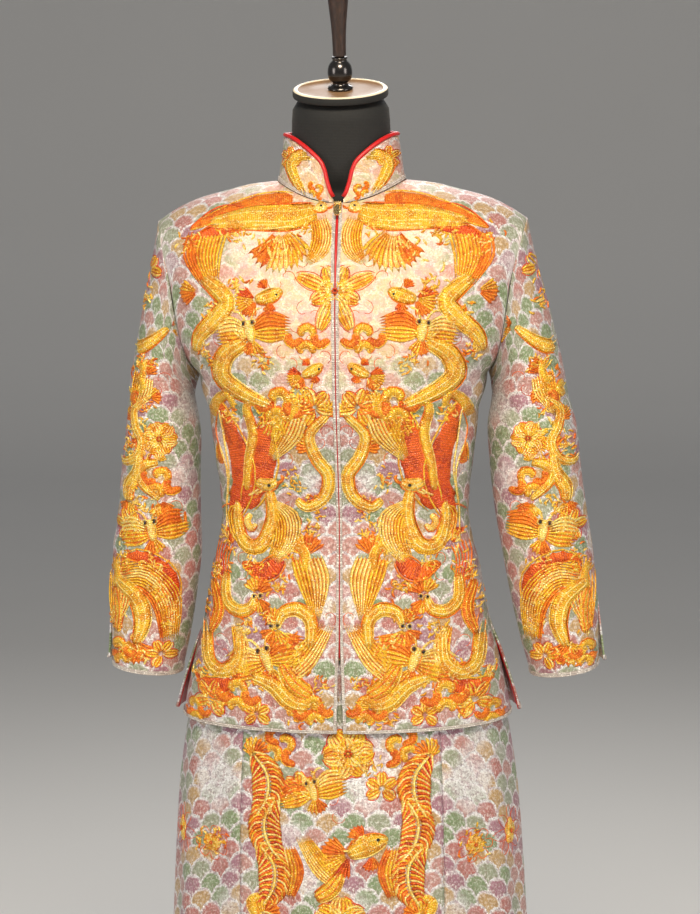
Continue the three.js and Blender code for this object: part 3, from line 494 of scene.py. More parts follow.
def band_piece(name, point, across, along, lift, thickness, materials, out):
    """Flat strip on a surface, lifted off it, with rounded edges."""
    grid = [[point(i / across, j / along) for j in range(along + 1)] for i in range(across + 1)]
    length_u, length_v = run_lengths([row[along // 2] for row in grid]), run_lengths(grid[across // 2])
    bm = bmesh.new()
    lay_grid(bm, across, along, lambda s, t: grid[round(s * across)][round(t * along)],
        lambda s, t: (length_u[round(s * across)], length_v[round(t * along)]))
    bmesh.ops.remove_doubles(bm, verts=bm.verts, dist=1e-6)
    face_outward(bm, out)
    bm.normal_update()
    for vert in bm.verts:
        vert.co = vert.co + vert.normal * lift
    piece = finished(name, bm, materials)
    wall = piece.modifiers.new("Wall", "SOLIDIFY")
    wall.thickness = thickness
    wall.offset = 1
    soften(piece, thickness * 0.3, 50)
    return piece


def tube(bm, points, radius, sides=8, material=0):
    """Round closed tube along points; radius is a number or a function of the share along it."""
    count = len(points) - 1
    wide = radius if callable(radius) else (lambda share: radius)
    frames, side = [], None
    for k, p in enumerate(points):
        along = (points[min(k + 1, count)] - points[max(k - 1, 0)]).normalized()
        if side is None:
            side = along.orthogonal().normalized()
        side = (side - along * side.dot(along)).normalized()
        frames.append((p, side, along.cross(side)))

    def place(s, t):
        p, a, b = frames[round(s * count)]
        angle = t * 2 * pi
        return p + (a * cos(angle) + b * sin(angle)) * wide(s)

    before = set(bm.verts)
    lay_grid(bm, count, sides, place, lambda s, t: (s * count * 0.003, t * 0.01), material, merge=True)
    fresh = [v for v in bm.verts if v not in before]
    edges = [e for v in fresh for e in v.link_edges if e.is_boundary]
    if edges:
        bmesh.ops.holes_fill(bm, edges=list(set(edges)), sides=0)


# Shader helpers
class Net:
    """Short way to build node trees."""

    def __init__(self, tree):
        self.tree = tree

    def node(self, kind, **settings):
        node = self.tree.nodes.new(kind)
        inputs = settings.pop("inputs", {})
        for name, value in settings.items():
            setattr(node, name, value)
        for name, value in inputs.items():
            self.feed(node.inputs[name], value)
        return node

    def finish(self, shader, **values):
        for title, value in values.items():
            self.feed(shader.inputs[title.replace("_", " ")], value)

    def feed(self, socket, value):
        if isinstance(value, bpy.types.NodeSocket):
            self.tree.links.new(value, socket)
        else:
            socket.default_value = value

    def math(self, operation, a, b=0.0):
        return self.node("ShaderNodeMath", operation=operation, inputs={0: a, 1: b}).outputs[0]

    def times(self, a, b):
        return self.math("MULTIPLY", a, b)

    def plus(self, a, b):
        return self.math("ADD", a, b)

    def inverse(self, value):
        """One less the value."""
        return self.math("SUBTRACT", 1.0, value)

    def line(self, value, gain, start):
        """A value times a gain, from a start."""
        return self.plus(self.times(value, gain), start)

    def mix(self, factor, a, b):
        return self.node("ShaderNodeMix", data_type="RGBA", inputs={0: factor, 6: a, 7: b}).outputs[2]

    def blend(self, factor, a, b):
        return self.plus(self.times(a, self.inverse(factor)), self.times(b, factor))

    def step(self, value, low, high):
        return self.node("ShaderNodeMapRange", interpolation_type="SMOOTHSTEP",
            inputs={0: value, 1: low, 2: high}).outputs[0]

    def split(self, vector):
        return self.node("ShaderNodeSeparateXYZ", inputs={0: vector}).outputs

    def join(self, x, y, z=0.0):
        return self.node("ShaderNodeCombineXYZ", inputs={0: x, 1: y, 2: z}).outputs[0]

    def noise(self, vector, scale, detail=2.0, rough=0.5):
        return self.node("ShaderNodeTexNoise", inputs={"Vector": vector, "Scale": scale, "Detail": detail,
            "Roughness": rough}).outputs[0]

    def ramp(self, factor, stops, interpolation="LINEAR"):
        node = self.node("ShaderNodeValToRGB", inputs={0: factor})
        node.color_ramp.interpolation = interpolation
        elements = node.color_ramp.elements
        while len(elements) < len(stops):
            elements.new(0.5)
        for element, (position, color) in zip(elements, stops):
            element.position = position
            element.color = (*color, 1)
        return node.outputs[0]

    def bump(self, height, strength, distance, normal=None):
        node = self.node("ShaderNodeBump", inputs={"Height": height, "Strength": strength,
            "Distance": distance})
        if normal is not None:
            self.feed(node.inputs["Normal"], normal)
        return node.outputs[0]


def rgb(color):
    return (*color, 1)


def node_group(name, outputs, **inputs):
    """Group with a vector and named numbers as inputs; only its output Color is a colour."""
    tree = bpy.data.node_groups.new(name, "ShaderNodeTree")
    tree.interface.new_socket("Vector", in_out="INPUT", socket_type="NodeSocketVector")
    for title, value in inputs.items():
        tree.interface.new_socket(title, in_out="INPUT", socket_type="NodeSocketFloat").default_value = value
    for title in outputs:
        kind = "NodeSocketColor" if title == "Color" else "NodeSocketFloat"
        tree.interface.new_socket(title, in_out="OUTPUT", socket_type=kind)
    net = Net(tree)
    return tree, net, net.node("NodeGroupInput").outputs, net.node("NodeGroupOutput").inputs


def scale_ground_group():
    """Rows of soft-edged scales on crinkled silver, lower rows over the upper ones."""
    tree, net, given, out = node_group("Scale ground", ("Color", "Silver", "Height"), Repeat=0.025, Row=0.015,
        Cream=0.0)
    place = given["Vector"]
    for scale, reach in ((75.0, 0.0055), (420.0, 0.0038)):
        noise = net.node("ShaderNodeTexNoise", inputs={"Vector": given["Vector"], "Scale": scale,
            "Detail": 2.0})
        shift = net.node("ShaderNodeVectorMath", operation="SUBTRACT",
            inputs={0: noise.outputs[1], 1: (0.5, 0.5, 0.5)})
        small = net.node("ShaderNodeVectorMath", operation="SCALE",
            inputs={0: shift.outputs[0], "Scale": reach})
        place = net.node("ShaderNodeVectorMath", operation="ADD",
            inputs={0: place, 1: small.outputs[0]}).outputs[0]
    x, y, _ = net.split(place)
    col = net.plus(net.math("DIVIDE", x, given["Repeat"]), 100.0)
    row = net.plus(net.math("DIVIDE", y, given["Row"]), 100.0)
    index = net.math("FLOOR", row)
    odd = net.times(net.math("MODULO", index, 2.0), 0.5)
    ratio = net.math("DIVIDE", given["Row"], given["Repeat"])

    def cell(offset, row_from):
        moved_col = net.plus(col, offset)
        dx = net.math("SUBTRACT", net.math("FRACT", moved_col), 0.5)
        dy = net.times(net.math("SUBTRACT", row, row_from), ratio)
        return net.math("FLOOR", moved_col), dx, dy

    def length(a, b):
        return net.math("SQRT", net.plus(net.times(a, a), net.times(b, b)))

    id_a, dx_a, dy_a = cell(odd, index)
    id_b, dx_b, dy_b = cell(net.math("SUBTRACT", 0.5, odd), net.plus(index, 1.0))
    away = net.math("DIVIDE", length(dx_a, dy_a), 0.53)
    inside = net.math("LESS_THAN", away, 1.0)
    dx = net.blend(inside, dx_b, dx_a)
    dy = net.blend(inside, dy_b, dy_a)
    ident = net.join(net.blend(inside, id_b, id_a), net.math("SUBTRACT", net.plus(index, 1.0), inside), 0.0)
    tall = net.math("MAXIMUM", net.times(dy, 1.12), net.times(dy, -0.7))
    dome = net.math("DIVIDE", length(dx, tall), 0.5)
    # Painted glare: in broad random patches the scale colours fade to silver, standing in for light washing
    # them out
    painted_glare = net.times(net.step(net.noise(given["Vector"], 11.0, 2.0), 0.54, 0.66), 0.8)
    colour_mask = net.times(net.inverse(net.step(dome, 0.78, 1.03)), net.inverse(painted_glare))
    rim = net.times(net.step(away, 0.86, 0.97), inside)
    hashed = net.node("ShaderNodeTexWhiteNoise", noise_dimensions="2D", inputs={"Vector": ident})
    colour = net.ramp(hashed.outputs[0], [(0.0, (0.46, 0.16, 0.14)), (0.18, (0.21, 0.29, 0.14)),
        (0.38, (0.50, 0.31, 0.12)), (0.54, (0.37, 0.17, 0.22)), (0.68, (0.30, 0.33, 0.22)),
        (0.84, (0.50, 0.24, 0.21)),], "CONSTANT")
    grain = net.noise(given["Vector"], 520.0, 3.0, 0.7)
    streak = net.noise(net.join(x, net.times(y, 0.3)), 800.0, 2.0, 0.6)
    patch = net.noise(given["Vector"], 110.0, 1.0)
    # The crinkle noise, which also raises the height, colours the silver from dark in the hollows to near
    # white on the crests: partly the thread's own tone, partly painted shade and highlight
    silver = net.ramp(grain, [(0.30, (0.34, 0.28, 0.30)), (0.42, (0.66, 0.61, 0.62)),
        (0.5, (0.90, 0.87, 0.86)), (0.6, (1.0, 1.0, 0.99))])
    cells = net.node("ShaderNodeTexVoronoi", feature="DISTANCE_TO_EDGE",
        inputs={"Vector": place, "Scale": 190.0})
    crack = net.times(net.inverse(net.step(cells.outputs["Distance"], 0.0, 0.10)),
        net.step(patch, 0.42, 0.56))
    silver = net.mix(net.times(crack, 0.6), silver, rgb((0.26, 0.13, 0.17)))
    silver = net.mix(net.times(net.step(patch, 0.5, 0.68), 0.3), silver, rgb((0.76, 0.50, 0.56)))
    # Painted glints and shade: random spots turn the silver and the scale colours darker, and small white
    # specks are set among the brighter ones
    painted_glint = net.step(net.noise(given["Vector"], 230.0, 2.0, 0.6), 0.36, 0.5)
    painted_shade = net.inverse(painted_glint)
    silver = net.mix(net.times(painted_shade, 0.5), silver, rgb((0.33, 0.24, 0.27)))
    painted_sparkle = net.times(net.step(net.noise(given["Vector"], 330.0, 2.0, 0.6), 0.54, 0.6), painted_glint)
    silver = net.mix(painted_sparkle, silver, rgb((1.0, 1.0, 1.0)))
    fade = net.plus(net.times(net.step(dy, 0.12, -0.16), 0.5), 0.35)
    colour = net.mix(net.times(net.step(streak, 0.5, 0.68), fade), colour, rgb((0.95, 0.92, 0.88)))
    # Painted shade: the scale colours turn darker where the crinkle is low
    colour = net.mix(net.times(net.inverse(net.step(grain, 0.32, 0.44)), 0.35), colour,
        rgb((0.20, 0.12, 0.08)))
    colour = net.mix(net.times(painted_shade, 0.35), colour, rgb((0.20, 0.13, 0.09)))
    colour = net.mix(net.times(painted_sparkle, 0.35), colour, rgb((0.96, 0.92, 0.88)))
    shown = net.mix(colour_mask, silver, colour)
    # Painted light: a warm peach pool, with near-white highlights on the crinkle crests, laid over the scales
    # as far as the input asks
    painted_light_colour = net.mix(net.step(patch, 0.4, 0.6), rgb((1.0, 0.76, 0.42)), rgb((1.0, 0.62, 0.47)))
    painted_light_colour = net.mix(net.times(net.step(grain, 0.5, 0.66), 0.8), painted_light_colour, rgb((1.0, 0.96, 0.86)))
    shown = net.mix(net.times(given["Cream"], net.blend(colour_mask, 0.8, 0.55)), shown, painted_light_colour)
    net.feed(out["Color"], shown)
    net.feed(out["Silver"], net.inverse(colour_mask))
    body = net.times(net.math("MAXIMUM", net.inverse(net.times(dome, dome)), 0.0), 0.4)
    edge = net.plus(net.times(inside, 0.35), net.times(rim, 0.3))
    crinkle = net.plus(net.times(grain, 1.1), net.times(streak, 0.5))
    net.feed(out["Height"], net.plus(net.plus(body, edge), crinkle))
    return tree


def cord_group():
    """Fine cords laid side by side along a strand, each twisted."""
    tree, net, given, out = node_group("Couched cord", ("Height", "Gap", "Glint", "Painted_flecks"), Pitch=0.0012,
        Twist=0.0022)
    x, y, _ = net.split(given["Vector"])
    lane = net.math("DIVIDE", y, given["Pitch"])
    cord = net.math("ABSOLUTE", net.math("SINE", net.times(lane, pi)))
    turn = net.plus(net.math("DIVIDE", x, given["Twist"]), net.times(lane, 0.9))
    twist = net.times(net.plus(net.math("SINE", net.times(turn, 2 * pi)), 1.0), 0.5)
    speck = net.step(net.noise(given["Vector"], 430.0, 2.0, 0.6), 0.36, 0.64)
    net.feed(out["Height"], net.plus(net.times(cord, 0.6),
        net.plus(net.times(twist, 0.5), net.times(speck, 0.5))))
    net.feed(out["Gap"], net.inverse(net.step(cord, 0.1, 0.45)))
    # Glint is a painted highlight: the twist and specks, which also give the height, make the thread lighter
    # on its crests; it also lowers the roughness there
    net.feed(out["Glint"], net.plus(net.times(twist, 0.4), net.times(speck, 0.6)))
    # Painted highlight: small bright flecks in place of glints on metal thread
    net.feed(out["Painted_flecks"], net.step(net.noise(given["Vector"], 560.0, 1.0), 0.58, 0.68))
    return tree


def grain_group():
    """Fine uneven wear for colour and roughness."""
    tree, net, given, out = node_group("Fine grain", ("Fine", "Broad"), Scale=400.0)
    net.feed(out["Fine"], net.noise(given["Vector"], given["Scale"], 3.0, 0.6))
    broad = net.times(given["Scale"], 0.06)
    net.feed(out["Broad"], net.noise(given["Vector"], broad, 2.0, 0.5))
    return tree


GROUPS = {}
MATERIALS = {}


def group(name):
    makers = {"scales": scale_ground_group, "cord": cord_group, "grain": grain_group}
    if name not in GROUPS:
        GROUPS[name] = makers[name]()
    return GROUPS[name]


def material(name, build):
    """A named material, built once."""
    if name not in MATERIALS:
        made = bpy.data.materials.new(name)
        made.use_nodes = True
        net = Net(made.node_tree)
        build(net, made.node_tree.nodes["Principled BSDF"])
        MATERIALS[name] = made
    return MATERIALS[name]


def placed_group(net, name, vector, **values):
    node = net.node("ShaderNodeGroup", node_tree=group(name))
    net.finish(node, Vector=vector, **values)
    return node.outputs


def uv_vector(net):
    return net.node("ShaderNodeTexCoord").outputs["UV"]


def object_vector(net):
    return net.node("ShaderNodeTexCoord").outputs["Object"]


def brocade():
    def build(net, shader):
        vector = uv_vector(net)
        x, y, z = net.split(object_vector(net))
        # Painted light: a round patch on the front of the upper chest, where the warm key light falls, gets
        # the peach pool
        wide, tall = net.math("DIVIDE", x, 0.13), net.math("DIVIDE", net.math("SUBTRACT", z, 1.26), 0.13)
        away = net.math("SQRT", net.plus(net.times(wide, wide), net.times(tall, tall)))
        chest = net.times(net.inverse(net.step(away, 0.5, 1.25)), net.math("LESS_THAN", y, 0.0))
        scales = placed_group(net, "scales", vector, Repeat=0.0262, Row=0.0158, Cream=chest)
        wear = placed_group(net, "grain", vector, Scale=900.0)
        fine = net.bump(wear["Fine"], 0.5, 0.0006)
        net.finish(shader, Base_Color=scales["Color"], Metallic=net.line(scales["Silver"], 0.35, 0.2),
            Roughness=net.line(wear["Fine"], 0.3, 0.22), Normal=net.bump(scales["Height"], 0.9, 0.0014, fine))
    return material("Silver scale brocade", build)


def thread(name, dark, light, gap, metallic, rough, pitch=0.0021, painted_fleck_colour=(1.0, 0.92, 0.42), blend=0.3):
    def build(net, shader):
        vector = uv_vector(net)
        cord = placed_group(net, "cord", vector, Pitch=pitch, Twist=0.0026)
        tint = net.node("ShaderNodeAttribute", attribute_name="tint").outputs["Fac"]
        # Painted shade and highlight: the colour goes from dark to light with the cord's twist and specks,
        # mixed with each strand's own tone
        mixed = net.blend(blend, cord["Glint"], tint)
        colour = net.mix(mixed, rgb(dark), rgb(light))
        # Darker in broad random patches, towards the gap colour
        darker_patches = net.step(net.noise(object_vector(net), 95.0, 2.0, 0.6), 0.47, 0.62)
        colour = net.mix(net.times(darker_patches, 0.6), colour, rgb(gap))
        colour = net.mix(net.times(cord["Gap"], 0.75), colour, rgb(gap))
        # Painted highlight: bright flecks in the fleck colour
        net.finish(shader, Base_Color=net.mix(net.times(cord["Painted_flecks"], 0.9), colour, rgb(painted_fleck_colour)),
            Metallic=metallic, Roughness=net.line(cord["Glint"], -0.2, rough),
            Normal=net.bump(cord["Height"], 0.9, 0.0009))
    return material(name, build)


def gold():
    return thread("Gold cord", (0.80, 0.34, 0.008), (1.0, 0.70, 0.045), (0.62, 0.16, 0.005), 0.35, 0.4)


def pale_gold():
    return thread("Pale gold cord", (0.92, 0.56, 0.06), (1.0, 0.88, 0.30), (0.76, 0.32, 0.02), 0.35, 0.38,
        0.0021, (1.0, 0.98, 0.72))


def orange():
    return thread("Orange cord", (0.74, 0.10, 0.003), (1.0, 0.34, 0.014), (0.50, 0.04, 0.003), 0.25, 0.42,
        0.0021, (1.0, 0.56, 0.08))


def red_orange():
    return thread("Red thread", (0.56, 0.012, 0.003), (0.98, 0.20, 0.010), (0.30, 0.008, 0.002), 0.12, 0.36,
        0.0026, (1.0, 0.26, 0.03), 0.7)


def silver_braid():
    return thread("Silver braid", (0.42, 0.37, 0.32), (0.92, 0.88, 0.82), (0.36, 0.28, 0.25), 0.05, 0.4,
        0.0018, (1.0, 0.97, 0.90))


def grained(name, scale, dark, light, rough, uneven=None, dent=None, shade="Fine", follows=object_vector,
        **plain):
    """Fine wear between two colours, which the roughness (uneven) and height (dent) may follow."""
    def build(net, shader):
        wear = placed_group(net, "grain", follows(net), Scale=scale)
        if dent:
            net.finish(shader, Normal=net.bump(wear["Fine"], *dent))
        net.finish(shader, Base_Color=net.mix(wear[shade], rgb(dark), rgb(light)),
            Roughness=net.line(wear[uneven[0]], uneven[1], rough) if uneven else rough, **plain)
    return material(name, build)


def red_cloth():
    return grained("Red satin", 1300.0, (0.36, 0.002, 0.002), (0.66, 0.006, 0.006), 0.42, dent=(0.4, 0.0003),
        follows=uv_vector, Sheen_Weight=0.05)


def black_jersey():
    def build(net, shader):
        place = object_vector(net)
        x, y, z = net.split(place)
        turn = net.math("ARCTAN2", x, y)
        wales = net.math("SINE", net.times(turn, 260.0))
        courses = net.math("SINE", net.times(z, 4200.0))
        wear = placed_group(net, "grain", place, Scale=500.0)
        colour = net.mix(wear["Fine"], rgb((0.003, 0.003, 0.003)), rgb((0.010, 0.010, 0.009)))
        knit = net.plus(net.times(wales, 0.3), net.times(courses, 0.3))
        net.finish(shader, Base_Color=colour, Roughness=0.78, Sheen_Weight=0.06, Sheen_Roughness=0.4,
            Normal=net.bump(net.plus(knit, wear["Fine"]), 0.35, 0.0004))
    return material("Black jersey", build)


def gold_metal():
    return grained("Gold plated metal", 1500.0, (0.72, 0.48, 0.16), (0.95, 0.72, 0.34), 0.16, ("Fine", 0.2),
        (0.15, 0.0002), Metallic=1.0)


def cap_cloth():
    return grained("Brown cap wood", 700.0, (0.16, 0.085, 0.04), (0.34, 0.20, 0.10), 0.35, ("Broad", 0.3),
        (0.25, 0.0003))


# Painted highlight: the cap's lip is coloured far lighter than its brown top, as a bright line of light along
# it
def cap_lip_painted_highlight():
    return grained("Cap lip painted highlight", 700.0, (0.60, 0.48, 0.32), (0.95, 0.86, 0.68), 0.2, ("Broad", 0.3))


def dark_metal(name="Dark polished metal", colour=(0.05, 0.045, 0.042), rough=0.12):
    light = tuple(min(c * 2.2, 1) for c in colour)
    return grained(name, 300.0, colour, light, rough, ("Broad", 0.15), (0.08, 0.0002), "Broad", Metallic=0.95)


def stand_paint():
    return dark_metal("Stand paint", (0.10, 0.10, 0.105), 0.3)


def dark_wood():
    def build(net, shader):
        x, y, z = net.split(object_vector(net))
        long = net.join(x, y, net.times(z, 0.06))
        rings = net.noise(long, 420.0, 4.0, 0.6)
        colour = net.ramp(rings, [(0.3, (0.012, 0.006, 0.004)), (0.55, (0.032, 0.014, 0.008)),
            (0.8, (0.065, 0.028, 0.014))])
        net.finish(shader, Base_Color=colour, Roughness=net.line(rings, 0.25, 0.28), Coat_Weight=0.3,
            Normal=net.bump(rings, 0.2, 0.0004))
    return material("Dark turned wood", build)


def bead_black():
    return grained("Black bead", 900.0, (0.004, 0.004, 0.004), (0.02, 0.02, 0.02), 0.12)


def bead_pearl():
    return grained("Pale bead", 900.0, (0.85, 0.72, 0.55), (1.0, 0.95, 0.85), 0.18, Metallic=0.3)


# Embroidery
def curve_points(controls, count):
    """Smooth run of points through control points (Catmull-Rom), equally spaced in parameter."""
    last = len(controls) - 1
    result = []
    for k in range(count + 1):
        position = k / count * last
        i = min(int(position), last - 1)
        t = position - i
        p1, p2 = controls[i], controls[i + 1]
        p0 = controls[i - 1] if i > 0 else (2 * p1[0] - p2[0], 2 * p1[1] - p2[1])
        p3 = controls[i + 2] if i + 2 <= last else (2 * p2[0] - p1[0], 2 * p2[1] - p1[1])
        result.append(tuple(0.5 * (2 * b + (c - a) * t + (2 * a - 5 * b + 4 * c - d) * t * t
            + (3 * b - a - 3 * c + d) * t ** 3) for a, b, c, d in zip(p0, p1, p2, p3)))
    return result


def spot_on(path, s):
    k = clamp(s) * (len(path) - 1)
    low = min(int(k), len(path) - 2)
    return tuple(lerp(path[low][axis], path[low + 1][axis], k - low) for axis in (0, 1))


def offset_path(path, distance):
    """Path moved to its left by a distance that may change along it."""
    last = len(path) - 1
    result = []
    for k, (x, y) in enumerate(path):
        before, after = path[max(k - 1, 0)], path[min(k + 1, last)]
        dx, dy = after[0] - before[0], after[1] - before[1]
        length = hypot(dx, dy) or 1e-9
        d = distance(k / last) if callable(distance) else distance
        result.append((x - dy / length * d, y + dx / length * d))
    return result


# Metres: a sight line's length, the longest step on one surface, and how deep threads are sunk in the cloth
LINE_LENGTH, LONGEST_STEP, SUNK = 0.7, 0.025, 0.0003
MOST_POINTS = 700


class Canvas:
    """Cloth seen from one side: a place (a, z) on it is where a straight line from that side meets it."""

    def __init__(self, piece, line):
        bm = bmesh.new()
        bm.from_mesh(piece.data)
        self.tree = BVHTree.FromBMesh(bm)
        bm.free()
        self.line = line

    def meet(self, a, z):
        origin, direction = self.line(a, z)
        place, normal, _, _ = self.tree.ray_cast(origin, direction, LINE_LENGTH)
        if place is None:
            return None
        return place, (normal if normal.dot(direction) < 0 else -normal)


def line_front(a, z):
    return Vector((a, -0.45, z)), Vector((0, 1, 0))


def line_back(a, z):
    return Vector((-a, 0.45, z)), Vector((0, -1, 0))


def line_left(a, z):
    return Vector((0.5, a, z)), Vector((-1, 0, 0))


def line_right(a, z):
    return Vector((-0.5, -a, z)), Vector((1, 0, 0))


GOLD, PALE, ORANGE, RED, SILVER, BLACK, PEARL = range(7)
CROSS = ((-1.0, 0.0), (-0.5, 0.86), (0.5, 0.86), (1.0, 0.0))


class Needle:
    """Draws raised strands, wings, plumes and flowers on a canvas, in a motif's own millimetres."""

    def __init__(self, canvas, seed):
        self.bm = self.blank()
        self.done = []
        self.canvas = canvas
        self.random = random.Random(seed)
        self.frame = (0.0, 0.0, 1.0, 0.0, 1.0)

    @staticmethod
    def blank():
        bm = bmesh.new()
        bm.loops.layers.uv.verify()
        bm.verts.layers.float.new("tint")
        return bm

    def put_by(self, most=-1):
        """Keeps what is drawn so far once it has many points, so that the working mesh stays quick."""
        if len(self.bm.verts) <= most:
            return
        mesh = bpy.data.meshes.new("stitches")
        self.bm.to_mesh(mesh)
        self.bm.free()
        self.bm = self.blank()
        self.done.append(mesh)

    def at(self, x, z, size=1.0, turn=0.0, flip=1.0):
        """Moves the motif frame: its place, its size, its turn in degrees and whether it is mirrored."""
        self.frame = (x, z, size, radians(turn), flip)
        return self

    def world(self, p):
        x, z, size, turn, flip = self.frame
        px, py = p[0] * size, p[1] * size
        return ((x + flip * (px * cos(turn) - py * sin(turn))) * MM,
            (z + px * sin(turn) + py * cos(turn)) * MM)

    def meet(self, p):
        return self.canvas.meet(*self.world(p))

    def ribbon(self, path, widths, height=1.2, colour=GOLD, base=0.0):
        """One raised strand: a closed crowned ribbon along a path, its ends drawn to points."""
        found = [self.meet(p) for p in path]
        runs, run = [], []
        for k, spot in enumerate(found):
            joined = run and spot and (spot[0] - found[run[-1]][0]).length < LONGEST_STEP
            if spot and (joined or not run):
                run.append(k)
            else:
                runs.append(run)
                run = [k] if spot else []
        runs.append(run)
        run = max(runs, key=len)
        if len(run) < 3:
            return
        found = [found[k] for k in run]
        size = self.frame[2]
        half = [widths[k] * size * 0.5 * MM for k in run]
        last = len(run) - 1
        lengths = run_lengths([spot for spot, _ in found])
        start = self.random.random() * 0.01

        def place(s, t):
            k = round(s * last)
            across, up = CROSS[round(t * 4) % 4]
            spot, normal = found[k]
            along = found[min(k + 1, last)][0] - found[max(k - 1, 0)][0]
            side = normal.cross(along).normalized() if along.length > 1e-9 else Vector((1, 0, 0))
            ends = 0.0 if k in (0, last) else 1.0
            return spot + side * across * half[k] * ends + normal * ((height * up * ends + base) * MM - SUNK)

        lay_grid(self.bm, last, 4, place, lambda s, t: (start + lengths[round(s * last)],
            (t - 0.375) * 2.66 * half[round(s * last)] + 0.00065), material=colour, tint=self.random.random(),
            merge=True)
        self.put_by(MOST_POINTS)

    def strand(self, controls, width, height=1.2, colour=GOLD, steps=8, base=0.0):
        path = curve_points(controls, steps)
        self.ribbon(path, [width] * len(path), height, colour, base)

    def slab(self, edges, colour=RED, height=0.8, base=0.0, crown=0.6):
        """Low closed ground of thread between the first and last of several paths."""
        across = len(edges) - 1
        found = [[self.meet(p) for p in row] for row in edges]
        best, start = (0, 0), 0
        for k in range(len(edges[0]) + 1):
            if k == len(edges[0]) or any(row[k] is None for row in found):
                best, start = max(best, (k - start, start)), k + 1
        if best[0] < 3:
            return
        found = [row[best[1]:best[1] + best[0]] for row in found]
        steps = best[0] - 1
        lengths = run_lengths([spot for spot, _ in found[len(found) // 2]])

        def place(s, t):
            k, lane = round(s * steps), round(t * (across + 1)) % (across + 1)
            spot, normal = found[lane][k]
            q = lane / across * 2 - 1
            rim = lane in (0, across) or k in (0, steps)
            up = 0.0 if rim else height * (1 - crown * q * q)
            return spot + normal * ((up + (0 if rim else base)) * MM - SUNK)

        def texture(s, t):
            k, lane = round(s * steps), round(t * (across + 1))
            wide = (found[0][k][0] - found[-1][k][0]).length
            return wide * lane / across, lengths[k]

        before = len(self.bm.verts)
        shade = self.random.random() * 0.5
        lay_grid(self.bm, steps, across + 1, place, texture, material=colour, merge=True,
            tint=lambda s, t: clamp(shade + s * 0.7 - 0.1))
        self.bm.verts.ensure_lookup_table()
        fresh = self.bm.verts[before:]
        rims = list({e for v in fresh for e in v.link_edges if e.is_boundary})
        if rims:
            for face in bmesh.ops.holes_fill(self.bm, edges=rims, sides=0)["faces"]:
                face.material_index = colour
        self.put_by(MOST_POINTS)

    def sweep(self, curve_of, count, colours=(GOLD,), height=1.3, steps=8, fill=0.94, ground=ORANGE,
            ragged=0.0, base=0.3):
        """Strands laid tightly side by side between neighbouring curves, over a low ground."""
        edges = []
        for k in range(count + 1):
            controls = curve_of(k / count)
            edges.append(list(controls) if len(controls) == steps + 1 else curve_points(controls, steps))
        if ground is not None:
            skip = max(1, count // 5)
            picked = edges[::skip] + ([edges[-1]] if count % skip else [])
            self.slab(picked, ground, 0.55, 0.0, 0.1)
        for k in range(count):
            one, two = edges[k], edges[k + 1]
            path = [((a[0] + b[0]) / 2, (a[1] + b[1]) / 2) for a, b in zip(one, two)]
            if ragged:
                reach = ragged * (0.5 + 0.5 * self.random.random())
                (x0, y0), (x1, y1) = path[-2], path[-1]
                length = hypot(x1 - x0, y1 - y0) or 1
                path[-1] = (x1 + (x1 - x0) / length * reach, y1 + (y1 - y0) / length * reach)
            widths = [max(dist(a, b), 0.8) * fill for a, b in zip(one, two)]
            tall = height * (0.85 + 0.3 * self.random.random())
            self.ribbon(path, widths, tall * 0.8, colours[k * len(colours) // count], base)

    def loft(self, first, last, count, colours=(GOLD, PALE), **more):
        """Wing or leaf: strands between two edge curves with as many controls."""
        self.sweep(lambda t: [(lerp(a[0], b[0], t), lerp(a[1], b[1], t)) for a, b in zip(first, last)], count,
            colours, **more)

    def fan(self, hub, start, end, inner, outer, count, bend=12.0, colours=(GOLD, ORANGE), scallop=0.12,
            **more):
        """Feathers side by side round a hub, their ends on an arc."""
        def ray(t):
            angle = radians(lerp(start, end, t))
            reach = outer * (1 - scallop + scallop * sin(pi * t))
            turn = radians(bend)
            points = []
            for q in (0, 0.33, 0.66, 1):
                r, bent = lerp(inner, reach, q), angle + turn * q * q
                points.append((hub[0] + r * cos(bent), hub[1] + r * sin(bent)))
            return points
        more.setdefault("ragged", outer * 0.07)
        self.sweep(ray, count, colours, **more)

    def body(self, controls, width, height=1.9, steps=12, colours=(GOLD, PALE), shape=None):
        """Rounded body of bullion laid across a path, corded along both edges."""
        path = curve_points(controls, steps)
        wide = shape or (lambda s: sin(pi * clamp(0.14 + 0.8 * s)) ** 0.6)
        rows = [offset_path(path, lambda s, q=q: q * width * wide(s))
            for q in (-0.5, -0.36, -0.18, 0, 0.18, 0.36, 0.5)]
        self.slab(rows, colours[0], height * 1.1, 0.3, 0.8)
        for row, colour in ((rows[0], colours[-1]), (rows[-1], ORANGE)):
            self.ribbon(row, [1.9] * len(row), 1.5, colour)
        if width > 11:
            for row, colour in ((rows[2], colours[1]), (rows[4], colours[1])):
                self.ribbon(row, [2.3] * len(row), 1.0, colour, height * 0.85)

    def leaf(self, controls, width, left=ORANGE, right=RED):
        """Feather leaf: red halves with slanting barbs beside a pale spine."""
        path = curve_points(controls, 12)

        def wide(s):
            return sin(pi * clamp(0.06 + 0.9 * s)) ** 0.7

        for way, colour in ((-1, left), (1, right)):
            rows = [offset_path(path, lambda s, q=q: q * way * width * wide(s))
                for q in (0.04, 0.16, 0.3, 0.42, 0.5)]
            self.slab(rows, RED, 0.9, 0.0, 0.5)
            barbs = round(len(path) * 1.5)
            for k in range(barbs):
                s = 0.9 * k / barbs
                root, tip = spot_on(path, s), spot_on(rows[-1], min(s + 0.16, 1.0))
                bend = spot_on(rows[2], s + 0.04)
                self.strand([root, bend, (tip[0] * 1.03, tip[1])], 3.0, 1.5,
                    (PALE, colour, GOLD, colour)[k % 4], 5, 0.3)
        self.ribbon(path, [4.0] * len(path), 2.3, PALE)

